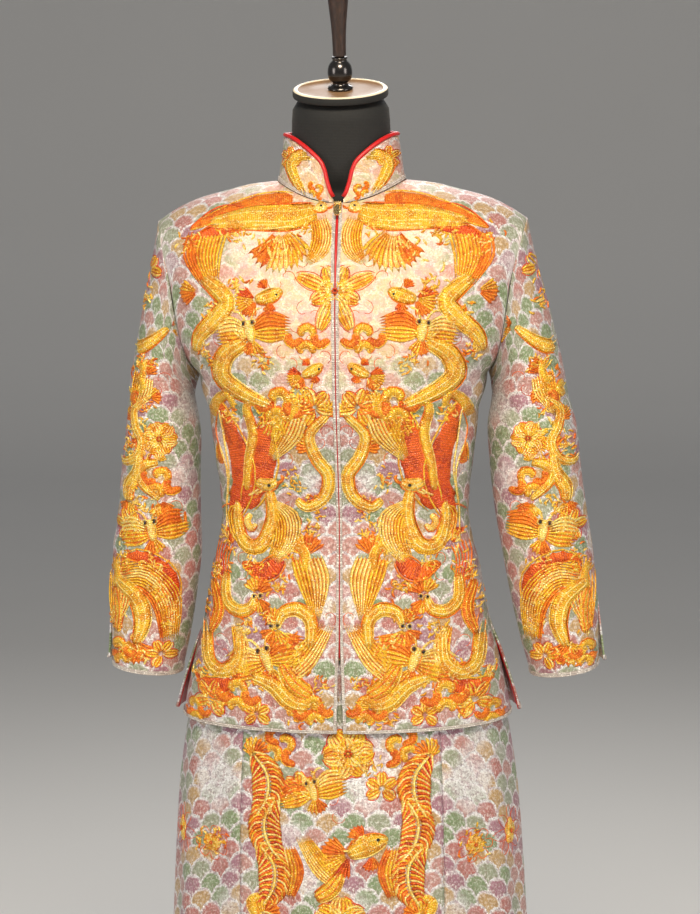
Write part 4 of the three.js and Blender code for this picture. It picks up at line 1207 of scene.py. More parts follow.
    def plume(self, controls, width, ground=RED, rims=(GOLD, PALE)):
        """Horn-shaped satin feather with cords along its edges."""
        path = curve_points(controls, 10)

        def wide(s):
            return sin(pi * clamp(s * 0.93 + 0.05) ** 0.7)

        edges = [offset_path(path, lambda s, q=q: q * width * wide(s))
            for q in (-0.5, -0.3, -0.1, 0.1, 0.3, 0.5)]
        self.slab(edges, ground, 1.1, 0.0, 0.5)
        for edge, colour in zip((edges[0], edges[-1]), rims):
            self.ribbon(edge, [2.6] * len(edge), 1.7, colour)

    def outline(self, controls, width=1.0, colour=RED, steps=8, height=0.6):
        self.strand(controls, width, height, colour, steps)

    def petal(self, hub, angle, length, width, strands=4, colours=(GOLD, PALE), edge=ORANGE, height=1.2):
        """Petal of curved strands that part and meet again, with an outline."""
        direction = radians(angle)
        c, s = cos(direction), sin(direction)

        def spot(along, across):
            return hub[0] + along * c - across * s, hub[1] + along * s + across * c

        def line(t):
            q = (t - 0.5) * width
            return [spot(length * 0.06, q * 0.25), spot(length * 0.5, q), spot(length * 0.85, q * 0.75),
                spot(length * 0.99, q * 0.25)]

        self.sweep(line, strands, colours, height=height, steps=6, ground=edge)
        for side in (-1, 1):
            self.outline([spot(0, 0), spot(length * 0.5, side * width * 0.56),
                spot(length * 0.88, side * width * 0.4), spot(length * 1.06, 0)], 1.3, RED, 7, 0.9)

    def bead(self, spot, radius, colour=BLACK, lift=0.6):
        found = self.meet(spot)
        if found is None:
            return
        place, normal = found
        turn = normal.to_track_quat("Z", "Y").to_matrix().to_4x4()
        size = max(self.frame[2], 0.75)
        matrix = Matrix.Translation(place + normal * lift * MM) @ turn @ Matrix.Diagonal((1, 1, 0.75, 1))
        made = bmesh.ops.create_icosphere(self.bm, subdivisions=1, radius=radius * size * MM,
            matrix=matrix)["verts"]
        layer = self.bm.verts.layers.float.get("tint")
        for vert in made:
            vert[layer] = self.random.random()
            for face in vert.link_faces:
                face.material_index = colour
        self.put_by(MOST_POINTS)

    def eye(self, spot, radius=1.9):
        ring = [(spot[0] + radius * 1.7 * cos(a), spot[1] + radius * 1.7 * sin(a))
            for a in [k * pi / 4 for k in range(9)]]
        self.ribbon(ring, [1.5] * 9, 2.6, PALE)
        self.bead(spot, radius, BLACK, 2.6)

    # Motifs, each in its own millimetres about (0, 0)
    def head(self, spot, angle, size=1.0):
        """Bird's head with a hooked beak, a crest and an eye."""
        c, s = cos(radians(angle)), sin(radians(angle))

        def turn(p):
            return spot[0] + (p[0] * c - p[1] * s) * size, spot[1] + (p[0] * s + p[1] * c) * size

        self.body([turn(p) for p in ((-11, -3), (-3, 2), (5, 2), (11, -1))], 13 * size, 2.3, 8, (PALE, GOLD))
        self.strand([turn(p) for p in ((8, 1), (13, 1), (17, -3), (15, -7))], 4 * size, 1.8, ORANGE, 6)
        for k, lift in enumerate((8, 12, 9)):
            self.strand([turn(p) for p in ((-3 - 2 * k, 4), (-7 - 4 * k, lift), (-15 - 4 * k, lift + 3))],
                3.4 * size, 1.6, ORANGE if k % 2 else PALE, 6)
        self.strand([turn(p) for p in ((3, -5), (5, -11), (1, -14))], 3.4 * size, 1.5, RED, 5)
        self.eye(turn((3, 2)), 1.9 * size)

    def phoenix(self):
        """Standing bird: red plumes above, crescent wing, looped body and tail feathers."""
        self.plume([(14, -20), (-6, 26), (-10, 62), (-22, 104)], 32, RED, (GOLD, GOLD))
        self.plume([(30, -34), (16, 18), (26, 62), (42, 102)], 30, RED, (PALE, GOLD))
        self.plume([(42, -58), (46, -20), (40, 20), (44, 52)], 20, ORANGE, (GOLD, PALE))
        self.body([(12, 0), (8, 34), (2, 64), (8, 90), (-2, 100)], 10, 2.0, 14)
        self.body([(44, 40), (50, 66), (42, 92), (28, 102), (22, 88)], 11, 2.0, 12)
        self.body([(52, -70), (58, -34), (54, 6), (58, 44)], 10, 1.7, 12, (GOLD, ORANGE, GOLD))
        self.loft([(26, -56), (32, -72), (30, -100)], [(54, -52), (56, -72), (50, -98)], 8,
            (ORANGE, RED, ORANGE, GOLD), height=1.3, ragged=5, steps=7)
        self.plume([(-26, -64), (-6, -80), (20, -72)], 22, RED, (ORANGE, ORANGE))
        self.plume([(26, -16), (36, -34), (30, -56)], 20, RED, (ORANGE, ORANGE))
        self.loft([(-14, -4), (-42, -18), (-42, -48), (-18, -76)],
            [(-8, -10), (-14, -30), (-14, -48), (-10, -66)], 10, (PALE, GOLD), height=1.9, ragged=3, steps=9)
        self.loft([(18, -12), (34, -20), (30, -48), (4, -62)], [(14, -16), (20, -26), (16, -40), (4, -50)], 5,
            (GOLD, PALE), height=1.8, steps=8)
        self.body([(-12, 6), (-15, -24), (-4, -52), (14, -54), (22, -34), (22, -8)], 15, 2.6, 16,
            (GOLD, PALE, GOLD))
        self.body([(8, -22), (13, -30), (8, -38), (2, -32)], 7, 2.4, 8, (PALE, GOLD))
        self.head((-10, 12), 172, 1.05)

    def shoulder_bird(self):
        """Bird lying along the shoulder: long golden body, orange back feathers, wing by the opening."""
        self.plume([(-30, 21), (4, 23), (40, 18), (84, 4)], 13, ORANGE, (RED, GOLD))
        self.plume([(30, 10), (60, 10), (92, -4)], 16, ORANGE, (GOLD, RED))
        self.plume([(40, -4), (66, -6), (92, -16)], 13, RED, (GOLD, ORANGE))
        self.fan((-4, -4), 208, 318, 8, 44, 13, 8, (GOLD, PALE, ORANGE), height=1.5)
        self.body([(-42, 8), (-14, 4), (26, 6), (70, 2)], 27, 2.0, 14, (GOLD, PALE, GOLD, ORANGE))
        self.loft([(-50, 6), (-58, -14), (-52, -34), (-34, -44)],
            [(-34, 2), (-36, -14), (-34, -26), (-30, -38)], 8, (PALE, GOLD), height=1.7, ragged=2, steps=8)
        self.loft([(-20, 16), (0, 17), (24, 17)], [(-22, -6), (2, -8), (30, -7)], 7, (GOLD, ORANGE, PALE),
            height=2.4, steps=8, ragged=6)
        self.head((-44, 14), 196, 0.8)

    def shoulder_wing(self):
        """Wing of parallel cords over a curling body."""
        self.loft([(26, 26), (30, 0), (10, -28)], [(-18, 26), (-12, 2), (-10, -20)], 12, (ORANGE, GOLD, GOLD),
            height=1.5, ragged=3)
        self.body([(8, -20), (-6, -30), (-18, -44), (-6, -60), (12, -78), (18, -96)], 19, 2.2, 16)
        self.fan((12, -34), -50, 40, 3, 22, 7, 0, (ORANGE, GOLD), height=1.4)

    def butterfly(self):
        """Two wings, a short body and two eyes."""
        self.loft([(-2, 6), (-20, 19), (-42, 10)], [(-2, -6), (-18, -14), (-38, -12)], 8, (ORANGE, GOLD),
            height=1.5, ragged=4, steps=7)
        self.loft([(2, 6), (18, 18), (38, 14)], [(2, -8), (16, -14), (34, -12)], 8, (PALE, GOLD), height=1.5,
            ragged=4, steps=7)
        self.fan((0, -6), 225, 315, 2, 20, 6, 0, (GOLD, ORANGE), height=1.3, steps=6)
        self.body([(0, 12), (0, 0), (0, -12)], 10, 2.4, 7, (PALE, GOLD))
        for side in (-1, 1):
            self.strand([(side * 2, 10), (side * 8, 20), (side * 16, 22)], 3, 1.4, PALE, 6)
            self.eye((side * 4.5, 9), 1.8)

    def body_fan(self):
        """Thick curling body that ends in a spread tail."""
        self.fan((-32, -34), 176, 292, 4, 34, 13, 6, (ORANGE, GOLD), height=1.4)
        self.body([(-6, 34), (16, 20), (22, -2), (2, -18), (-32, -32)], 21, 2.4, 16)
        self.fan((-6, 34), 30, 150, 2, 18, 7, 0, (PALE, GOLD), height=1.5, steps=6)

    def goldfish(self):
        """Fish with a long striped body and a flowing tail."""
        self.fan((-16, 0), 108, 252, 3, 30, 14, 0, (ORANGE, GOLD, RED), 0.3, height=1.4)
        self.fan((0, 7), 60, 140, 2, 17, 6, 10, (RED, ORANGE), height=1.3, steps=6)
        self.fan((2, -7), 220, 300, 2, 16, 6, -10, (RED, ORANGE), height=1.3, steps=6)
        self.body([(-18, 0), (-4, 2), (10, 2), (22, 0)], 20, 2.6, 10,
            shape=lambda s: sin(pi * clamp(0.1 + 0.85 * s)) ** 0.8)
        self.eye((13, 4), 1.9)

    def ribbon_curl(self):
        """S-shaped ribbon with a curled end."""
        self.body([(-12, 50), (8, 28), (2, 4), (-10, -14), (-6, -36), (12, -48), (24, -40)], 13, 2.2, 20,
            shape=lambda s: 0.55 + 0.45 * sin(pi * s))
        self.fan((-12, 48), 60, 200, 2, 18, 8, 10, (GOLD, ORANGE), height=1.4, steps=6)
        self.fan((4, 16), -40, 50, 3, 20, 6, 10, (ORANGE, GOLD), height=1.2, steps=6)

    def leaf_wing(self):
        """Narrow wing that points down, with short feathers at its top."""
        self.fan((0, 24), 20, 160, 3, 24, 10, 0, (GOLD, ORANGE), height=1.4, steps=6)
        self.loft([(-16, 24), (-20, -4), (-4, -42)], [(18, 26), (14, -2), (2, -40)], 9, (PALE, GOLD),
            height=1.8, ragged=4)
        self.body([(10, 40), (2, 26), (4, 8)], 10, 2.2, 8)

    def arch(self):
        """Arched body with a flowered end."""
        self.body([(-16, -28), (-17, 0), (-4, 12), (12, 8), (18, -6)], 14, 2.2, 14)
        self.fan((20, -8), 200, 350, 2, 20, 8, 0, (GOLD, ORANGE), height=1.5, steps=6)
        self.fan((20, -4), 20, 110, 2, 18, 6, 0, (ORANGE, GOLD), height=1.4, steps=6)
        self.eye((17, -5), 1.7)
        self.eye((24, -6), 1.7)

    def side_curl(self):
        """Large hooked body at the side with red feathers round it."""
        self.plume([(26, -10), (30, 26), (24, 60)], 22, RED, (GOLD, ORANGE))
        self.plume([(-18, -38), (6, -44), (30, -36)], 18, RED, (ORANGE, GOLD))
        self.body([(8, 62), (0, 34), (10, 6)], 12, 1.8, 10, (ORANGE, GOLD))
        self.body([(-24, 16), (-22, -14), (-6, -28), (10, -20), (14, 8), (22, 44), (18, 70)], 15, 2.5, 18)
        self.loft([(-22, 22), (-34, 2), (-30, -26)], [(-14, 20), (-16, 2), (-18, -16)], 5, (PALE, GOLD),
            height=1.6, ragged=3)

    def cuff_bird(self):
        """Oval of long feathers above a cuff, red along its upper rim."""
        self.plume([(-28, -6), (-22, 28), (6, 48), (30, 40)], 20, RED, (ORANGE, GOLD))
        self.loft([(34, 34), (-4, 42), (-34, 8), (-30, -44)], [(30, 8), (6, 10), (-8, -10), (-14, -46)], 11,
            (GOLD, PALE, GOLD, ORANGE), steps=11, height=1.8, ragged=4)
        self.body([(34, 22), (10, 4), (4, -20), (12, -46)], 20, 2.4, 14)
        self.fan((14, -40), 200, 340, 3, 26, 11, 0, (ORANGE, GOLD), height=1.4)
        self.body([(34, 14), (30, -8), (32, -34)], 12, 1.9, 10, (GOLD, ORANGE))

    def feather_fan(self):
        """Pale wing that opens up towards the opening."""
        self.loft([(16, -22), (-2, -6), (-18, 26)], [(26, -6), (14, 10), (-4, 30)], 8, (PALE, GOLD),
            height=1.8, ragged=4)
        self.body([(2, -34), (18, -24), (30, -6)], 17, 2.3, 10, (GOLD, ORANGE, PALE))

    def long_body(self):
        """Thick body with a fan at both ends."""
        self.fan((30, 12), -30, 80, 3, 22, 8, 0, (ORANGE, GOLD), height=1.4, steps=6)
        self.body([(-30, -14), (-12, -10), (6, 6), (30, 14)], 18, 2.4, 14)
        self.fan((-28, -14), 140, 260, 3, 20, 8, 0, (GOLD, ORANGE), height=1.4, steps=6)

    def flower(self, petals=6, radius=22.0, colours=(GOLD, PALE), edge=ORANGE):
        """Open flower: two rounds of petals and a beaded heart."""
        for k in range(petals):
            self.petal((0, 0), k * 360 / petals + 8, radius, radius * 0.92, 6, colours, edge, 1.3)
        for k in range(petals - 1):
            self.petal((0, 0), k * 360 / (petals - 1) + 30, radius * 0.62, radius * 0.6, 4, (PALE, GOLD),
                edge, 2.2)
        for k in range(7):
            angle = k * 2 * pi / 6
            r = 0 if k == 6 else radius * 0.12
            self.bead((r * cos(angle), r * sin(angle)), 1.4, ORANGE if k < 6 else PALE, 2.4)

    def star_flower(self):
        """Flower with pointed leaf petals."""
        for k in range(8):
            self.petal((0, 0), k * 45 + 22.5, 26 if k % 2 else 42, 15, 4, (GOLD, PALE), ORANGE, 1.3)
        self.flower(6, 19)

    def outline_flower(self):
        """Open flower drawn in thin thread, with a small golden heart."""
        for k in range(8):
            angle = radians(k * 45)
            c, s = cos(angle), sin(angle)

            def spot(along, across):
                return along * c - across * s, along * s + across * c

            for side in (-1, 1):
                self.outline([spot(6, 0), spot(16, side * 6), spot(25, side * 5), spot(31, 0)], 1.2, RED, 7,
                    0.6)
        self.flower(5, 15)

    def sprig(self):
        """Small leaf spray."""
        for angle in (10, 70, 130, 190, 300):
            self.petal((0, 0), angle, 17, 11, 3, (GOLD, PALE), ORANGE, 1.2)

    def cloud(self):
        """Cluster of small curls."""
        for x, y, turn in ((-12, 2, 0), (2, 8, 1), (14, -2, 0), (0, -9, 1)):
            way = 1 if turn else -1
            self.body([(x - 8, y - 3 * way), (x, y + 5 * way), (x + 8, y), (x + 4, y - 5 * way)], 8, 1.9, 8,
                (GOLD, PALE) if turn else (ORANGE, GOLD))

    def clump(self, wide=15, tall=11, count=24):
        """Heap of short curled pieces of gold wire."""
        for _ in range(count):
            x, y = self.random.gauss(0, wide * 0.5), self.random.gauss(0, tall * 0.5)
            angle, bend = self.random.uniform(0, pi), self.random.uniform(-2, 2)
            c, s = cos(angle), sin(angle)
            self.strand([(x - 4 * c, y - 4 * s), (x - s * bend, y + c * bend), (x + 4 * c, y + 4 * s)], 2.7,
                1.7, self.random.choice((GOLD, PALE, GOLD, PALE, ORANGE)), 4, 0.1)

    def scroll(self):
        """Thin red lines of thread that curl loosely."""
        for x, y, turn in ((-9, 4, 0.4), (7, -5, 2.2), (1, 11, 4.0)):
            self.outline([(x + (4 + q) * cos(turn + q * 0.8), y + (4 + q) * sin(turn + q * 0.8))
                for q in range(6)], 1.1, RED, 10, 0.5)

    def rosette(self):
        """Round bloom of short gold wire inside thin red petals."""
        for k in range(7):
            angle = k * tau / 7
            c, s = cos(angle), sin(angle)
            self.outline([(9 * c + 5 * s, 9 * s - 5 * c), (19 * c + 5 * s, 19 * s - 5 * c), (21 * c, 21 * s),
                (19 * c - 5 * s, 19 * s + 5 * c), (9 * c - 5 * s, 9 * s + 5 * c)], 1.3, RED, 8, 0.7)
        self.clump(17, 17, 40)
        self.flower(6, 11)

    def wave(self):
        """Rolling water: nested arcs."""
        def arc(t):
            radius = lerp(22, 3, t)
            return [(radius * cos(a), radius * 0.9 * sin(a)) for a in [pi * q / 6 for q in range(7)]]
        self.sweep(arc, 5, (GOLD, PALE, ORANGE), steps=6, height=1.4)

    def tall_plume(self):
        """Upright spray of feather leaves one above another, about 150 tall."""
        for x, y, lean in ((6, 46, 1), (-4, 0, -1), (6, -46, 1)):
            self.leaf([(x + 6 * lean, y + 32), (x - 8 * lean, y + 10), (x - 6 * lean, y - 14),
                (x + 8 * lean, y - 34)], 36, *((ORANGE, RED) if lean > 0 else (RED, ORANGE)))
        self.loft([(-26, -16), (-34, -44), (-20, -74)], [(-10, -18), (-12, -44), (-10, -70)], 6,
            (ORANGE, GOLD, PALE))
        self.fan((10, 74), 20, 160, 3, 20, 9, 10, (GOLD, ORANGE), height=1.5)
        self.body([(16, 70), (24, 86), (14, 96)], 10, 2.0, 8)

    def sequins(self, places, spread, count):
        """Small pale beads strewn near places."""
        self.at(0, 0)
        for _ in range(count):
            a, z = self.random.choice(places)
            self.bead((a + self.random.gauss(0, spread), z + self.random.gauss(0, spread)), 0.7, PEARL, 0.2)

    def piece(self, name):
        self.put_by()
        for mesh in self.done:
            self.bm.from_mesh(mesh)
            bpy.data.meshes.remove(mesh)
        bmesh.ops.recalc_face_normals(self.bm, faces=self.bm.faces)
        return finished(name, self.bm, [gold(), pale_gold(), orange(), red_orange(), silver_braid(),
            bead_black(), bead_pearl()])


# Motif places on one half of the jacket: name, distance from the centre line, height, size, turn
JACKET_PLACES = (
    ("shoulder_bird", 62, 1311, 1.0, -3),
    ("shoulder_wing", 128, 1276, 1.0, 0),
    ("goldfish", 68, 1240, 0.75, 160),
    ("butterfly", 86, 1204, 1.0, -8),
    ("body_fan", 96, 1160, 1.0, 0),
    ("cloud", 26, 1196, 1.0, 10),
    ("goldfish", 24, 1166, 0.6, 150),
    ("cloud", 56, 1128, 1.2, 20),
    ("leaf_wing", 52, 1104, 0.9, 30),
    ("sprig", 22, 1128, 1.2, 0),
    ("ribbon_curl", 20, 1072, 1.0, 0),
    ("phoenix", 84, 1036, 1.0, 0),
    ("leaf_wing", 30, 950, 1.0, -8),
    ("arch", 46, 908, 1.0, 0),
    ("arch", 104, 926, 0.95, 180),
    ("butterfly", 76, 868, 1.1, -20),
    ("feather_fan", 26, 872, 1.15, 0),
    ("side_curl", 128, 880, 1.0, 0),
    ("long_body", 62, 836, 1.0, 0),
    ("cloud", 24, 818, 1.0, 0),
    ("cloud", 104, 828, 1.1, 10),
    ("sprig", 136, 822, 1.2, 40),
    ("sprig", 86, 812, 0.9, 20),
    ("cloud", 152, 806, 0.8, 0),
) + tuple(("clump", a, z, size, turn) for a, z, size, turn in (
    (98, 1250, 1.0, 20), (124, 1222, 1.0, 0), (134, 1180, 0.9, 70), (112, 1118, 1.0, 0), (70, 1112, 1.0, 30),
    (40, 1144, 0.9, 0), (74, 1172, 0.9, 40), (46, 1052, 0.8, 80), (24, 1024, 0.8, 60), (56, 978, 1.0, 0),
    (28, 1000, 0.8, 90), (118, 984, 1.0, 90), (132, 952, 0.9, 0), (64, 944, 1.0, 0), (90, 962, 0.8, 0),
    (48, 884, 1.0, 20), (98, 898, 0.9, 0), (118, 856, 1.0, 0), (148, 846, 0.9, 90), (84, 846, 1.0, 0),
    (42, 858, 0.9, 60), (20, 846, 0.8, 0), (126, 818, 1.0, 0), (46, 812, 1.0, 0), (70, 908, 0.9, 0),
    (144, 916, 0.9, 90), (66, 1288, 1.1, 0), (104, 1300, 1.0, 0), (36, 1310, 0.9, 60), (150, 1290, 0.9, 60),
)) + tuple(("scroll", a, z, 1.0, turn) for a, z, turn in (
    (30, 1216, 0), (24, 1270, 60), (58, 1262, 120), (42, 1184, 200), (18, 1186, 260), (22, 1102, 90),
    (108, 1196, 30),
    (60, 1084, 150), (40, 1020, 210), (110, 960, 60), (20, 908, 0), (80, 930, 100), (132, 872, 40),
))
SLEEVE_PLACES = (
    ("sprig", 0.5, 1262, 1.0, 0),
    ("body_fan", 0.55, 1196, 0.7, -60),
    ("cloud", 0.7, 1140, 1.0, 80),
    ("ribbon_curl", 0.55, 1098, 0.75, 10),
    ("flower", -0.1, 1090, 0.8, 0),
    ("long_body", 0.5, 1050, 0.8, 80),
    ("cloud", -0.2, 1044, 1.0, 30),
    ("butterfly", 0.0, 996, 1.0, -10),
    ("sprig", 0.6, 1000, 1.0, 0),
    ("cuff_bird", 0.0, 922, 1.0, 0),
    ("cloud", 0.5, 868, 0.9, 0),
    ("sprig", -0.5, 866, 0.9, 0),
    ("clump", 0.55, 1232, 1.0, 60),
    ("clump", 0.3, 1168, 0.9, 0),
    ("leaf_wing", 0.5, 1140, 0.7, 20),
    ("clump", 0.3, 1124, 0.8, 90),
    ("clump", 0.75, 1080, 0.9, 90),
    ("clump", 0.35, 1070, 0.8, 0),
    ("clump", 0.35, 1024, 1.0, 0),
    ("clump", -0.1, 962, 0.9, 0),
    ("clump", 0.6, 966, 0.8, 90),
    ("clump", -0.55, 900, 0.8, 90),
    ("clump", 0.1, 868, 1.1, 0),
    ("clump", 0.7, 900, 0.8, 90),
    ("leaf_wing", 0.72, 926, 0.85, 8),
    ("clump", -0.25, 930, 0.9, 30),
    ("clump", 0.4, 1098, 1.0, 0),
    ("body_fan", 0.1, 1050, 0.55, 20),
    ("scroll", -0.3, 1016, 1.0, 0),
    ("scroll", 0.1, 1150, 1.0, 90),
)
SKIRT_PLACES = (
    ("flower", 8, 774, 1.2, 0),
    ("butterfly", -28, 736, 0.95, 15),
    ("goldfish", 26, 678, 1.1, 20),
    ("feather_fan", -28, 660, 1.0, 0),
    ("tall_plume", 74, 694, 1.0, -4),
    ("sprig", 42, 738, 1.0, 20),
    ("cloud", 60, 776, 1.0, 60),
    ("clump", 8, 774, 1.3, 0),
    ("clump", 30, 760, 0.8, 0),
    ("clump", -30, 742, 0.9, 0),
    ("clump", 22, 684, 1.0, 0),
    ("scroll", -10, 716, 1.0, 0),
    ("tall_plume", 78, 530, 1.0, 6),
    ("flower", 0, 600, 1.3, 20),
    ("butterfly", 30, 540, 1.1, -12),
    ("goldfish", -30, 488, 1.1, 160),
    ("tall_plume", 80, 370, 1.05, -6),
    ("flower", 4, 420, 1.4, 40),
    ("body_fan", -32, 356, 1.0, 10),
    ("goldfish", 32, 322, 1.1, 20),
    ("flower", 0, 250, 1.5, 10),
    ("phoenix", 70, 212, 0.9, 0),
    ("wave", 20, 110, 1.3, 0),
    ("wave", 62, 108, 1.3, 0),
    ("wave", 98, 112, 1.2, 0),
    ("wave", 41, 82, 1.3, 0),
    ("wave", 84, 82, 1.3, 0),
    ("wave", 0, 84, 1.3, 0),
)
SIDE_PLACES = (
    ("outline_flower", -46, 676, 0.95, 0),
    ("outline_flower", 30, 620, 0.9, 0),
    ("outline_flower", -40, 500, 1.0, 0),
    ("outline_flower", 34, 430, 1.0, 0),
    ("outline_flower", -42, 330, 1.1, 0),
    ("outline_flower", 30, 250, 1.1, 0),
    ("wave", -60, 100, 1.3, 0),
    ("wave", -18, 98, 1.3, 0),
    ("wave", 24, 98, 1.3, 0),
    ("wave", 64, 100, 1.3, 0),
)


def draw(needle, places, flip=1.0, both=False):
    for kind, a, z, size, turn in places:
        for mirror in ((1.0, -1.0) if both and abs(a) > 40 else (1.0,)):
            side = flip * mirror
            needle.at(a * side, z, size, turn, side)
            getattr(needle, kind)()


# Settings a user may change
class DressSettings(bpy.types.PropertyGroup):
    jacket_wall: bpy.props.FloatProperty(name="Jacket cloth", description="Thickness of the jacket's cloth",
        default=0.002, unit="LENGTH")
    skirt_wall: bpy.props.FloatProperty(name="Skirt cloth", description="Thickness of the skirt's cloth",
        default=0.0018, unit="LENGTH")
    collar_wall: bpy.props.FloatProperty(name="Collar", description="Thickness of the standing collar",
        default=0.0024, unit="LENGTH")
    trim_wall: bpy.props.FloatProperty(name="Trims",
        description="Thickness of the silver trims and red facings", default=0.0008, unit="LENGTH")
    floor_colour: bpy.props.FloatVectorProperty(name="Floor", description="Colour of the studio floor",
        default=(0.80, 0.79, 0.77), subtype="COLOR", size=3)


def settings():
    return bpy.context.scene.dress_settings


PIECES = {}


def brocade_panel(name, cloth, wall, out, node):
    """Brocade panel of the garment, with its measured cut kept on it."""
    piece = sheet_piece(name, cloth, wall, [brocade()], out)
    piece["cut"] = cloth.measure()
    return ride(piece, node)


TRIM_LIFT = 0.0003


def trim(name, node, point, across, along, out, lift=TRIM_LIFT, finish=silver_braid):
    """Thin strip on the garment's surface."""
    ride(band_piece(name, point, across, along, lift, settings().trim_wall, [finish()], out), node)


def ride(piece, node=None, body="dress"):
    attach(piece, body)
    if node:
        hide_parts(*([node] if isinstance(node, str) else node))
    PIECES[piece.name] = piece
    return piece


BODY_MID_Z = 1.1
# Creases: from (x, z) to (x, z), width, depth
JACKET_CREASES = (
    (146, 1150, 96, 1112, 9, -3.0),
    (150, 1128, 104, 1080, 8, -2.4),
    (146, 1166, 110, 1172, 8, -2.0),
    (128, 1040, 84, 1024, 8, -1.8),
    (130, 1008, 88, 1000, 7, -1.6),
    (134, 968, 98, 978, 8, -1.6),
    (60, 1150, 40, 1060, 16, -1.5),
    (118, 1090, 106, 930, 14, 1.2),
    (70, 930, 82, 810, 14, -1.6),
    (130, 900, 146, 812, 12, 1.6),
    (176, 1260, 150, 1200, 9, -2.2),
)
SKIRT_CREASES = (
    (60, 760, 70, 60, 20, -3.0),
    (20, 700, 14, 60, 18, 2.2),
    (92, 700, 96, 60, 14, 2.2),
    (40, 560, 42, 80, 16, 1.6),
)


class DRESS_OT_jacket(bpy.types.Operator):
    """Jacket fronts, back and their creases"""
    bl_idname = "dress.jacket"
    bl_label = "Jacket"

    def execute(self, context):
        wall = settings().jacket_wall
        for name, side in (("front_left", 1), ("front_right", -1)):
            def point(u, v, side=side):
                p = jacket_point(u, v, True)
                return Vector((side * p.x, p.y, p.z))
            cloth = Cloth(point, 60, 104, JACKET_CREASES)
            brocade_panel("jacket_" + name, cloth, wall, away_from(z=BODY_MID_Z), name)
        cloth = Cloth(lambda u, v: jacket_point(u * 2 - 1, v, False), 120, 104, JACKET_CREASES, origin=0.5)
        brocade_panel("jacket_back", cloth, wall, away_from(z=BODY_MID_Z), "back")
        return {"FINISHED"}


SLEEVE_CREASES = (
    (178, 1150, 214, 1120, 10, -2.6),
    (172, 1120, 206, 1086, 9, -2.2),
    (176, 1060, 222, 1046, 8, -2.0),
    (180, 1030, 232, 1020, 8, -2.4),
    (186, 1000, 236, 996, 7, -1.8),
    (200, 970, 244, 976, 9, 1.6),
    (196, 930, 216, 870, 10, -1.8),
)
SLEEVES = (
    ("sleeve_left_front", SLEEVE_LEFT, 1, True), ("sleeve_left_back", SLEEVE_LEFT, 1, False),
    ("sleeve_right_front", SLEEVE_RIGHT, -1, True), ("sleeve_right_back", SLEEVE_RIGHT, -1, False),
)


class DRESS_OT_sleeves(bpy.types.Operator):
    """Set-in sleeves in halves, with cuff bindings"""
    bl_idname = "dress.sleeves"
    bl_label = "Sleeves"

    def execute(self, context):
        wall = settings().jacket_wall
        for name, rows, side, front in SLEEVES:
            def point(u, v, rows=rows, side=side, front=front):
                return sleeve_point(u, v, rows, side, front)
            cloth = SleeveCloth(point, 36, 84, SLEEVE_CREASES)
            out = away_from(side * 0.19)
            brocade_panel(name + "_cloth", cloth, wall, out, name)
            share = 0.011
            cuff = name.replace("sleeve", "cuff")
            trim(cuff + "_binding", cuff, lambda u, v, point=point: point(u, v * share), 40, 3, out)
        return {"FINISHED"}


class DRESS_OT_collar(bpy.types.Operator):
    """Standing collar with its band and round piping"""
    bl_idname = "dress.collar"
    bl_label = "Collar"

    def execute(self, context):
        cloth = Cloth(collar_point, 140, 14)
        brocade_panel("collar_cloth", cloth, settings().collar_wall, away_from(), "collar")
        trim("collar_binding", "collar_band", lambda u, v: collar_point(lerp(0.01, 0.99, u), v * 0.1), 140, 2,
            away_from())
        path = []
        for k in range(121):
            u = k / 120
            p = collar_point(u, 1)
            inward = Vector((p.x, p.y, 0)).normalized()
            path.append(p - inward * settings().collar_wall / 2 + Vector((0, 0, 0.0026)))
        bm = bmesh.new()
        tube(bm, path, 0.0022, 10)
        bmesh.ops.recalc_face_normals(bm, faces=bm.faces)
        ride(finished("collar_red_piping", bm, [red_cloth()]), "collar_piping")
        return {"FINISHED"}


TAPE_WIDTH, EDGE_WIDTH, HEM_WIDTH, TAPE_END_Z = 7, 2.8, 3.6, 868


class DRESS_OT_trims(bpy.types.Operator):
    """Silver edges and hems, red facings at the side slits and red zip tapes"""
    bl_idname = "dress.trims"
    bl_label = "Trims"

    def execute(self, context):
        out = away_from(z=BODY_MID_Z)
        inner = -settings().jacket_wall - TRIM_LIFT - settings().trim_wall
        u_edge, u_strip = (2 / pi * asin(width / 150) for width in (TAPE_WIDTH, EDGE_WIDTH))
        hem = level_row(HEM_Z + HEM_WIDTH)
        for side, tag in ((1, "left"), (-1, "right")):
            def front(u, v, side=side):
                p = jacket_point(u, v, True)
                return Vector((side * p.x, p.y, p.z))

            def edge(u, v, f=front):
                return f(0.001 + u * u_strip, lerp(0.0005, 0.999, v))

            def hem_strip(u, v, f=front):
                return f(lerp(u_strip + 0.002, 0.999, u), v * hem)

            def tape(u, v, f=front):
                return f(0.001 + u * u_edge, lerp(level_row(TAPE_END_Z), 0.985, v))

            def facing(u, v, side=side):
                return jacket_point(side * lerp(0.86, 0.999, u), lerp(0, level_row(SLIT_TOP_Z), v), False)

            trim(f"edge_{tag}_strip", f"edge_{tag}", edge, 3, 150, out)
            trim(f"hem_front_{tag}_strip", f"hem_front_{tag}", hem_strip, 90, 3, out)
            trim(f"zip_tape_{tag}_cloth", f"zip_tape_{tag}", tape, 2, 90, out, inner, red_cloth)
            trim(f"facing_{tag}_cloth", f"facing_{tag}", facing, 6, 40, out, inner, red_cloth)
        trim("hem_back_strip", "hem_back", lambda u, v: jacket_point(lerp(-0.999, 0.999, u), v * hem, False),
            160, 3, out)
        return {"FINISHED"}


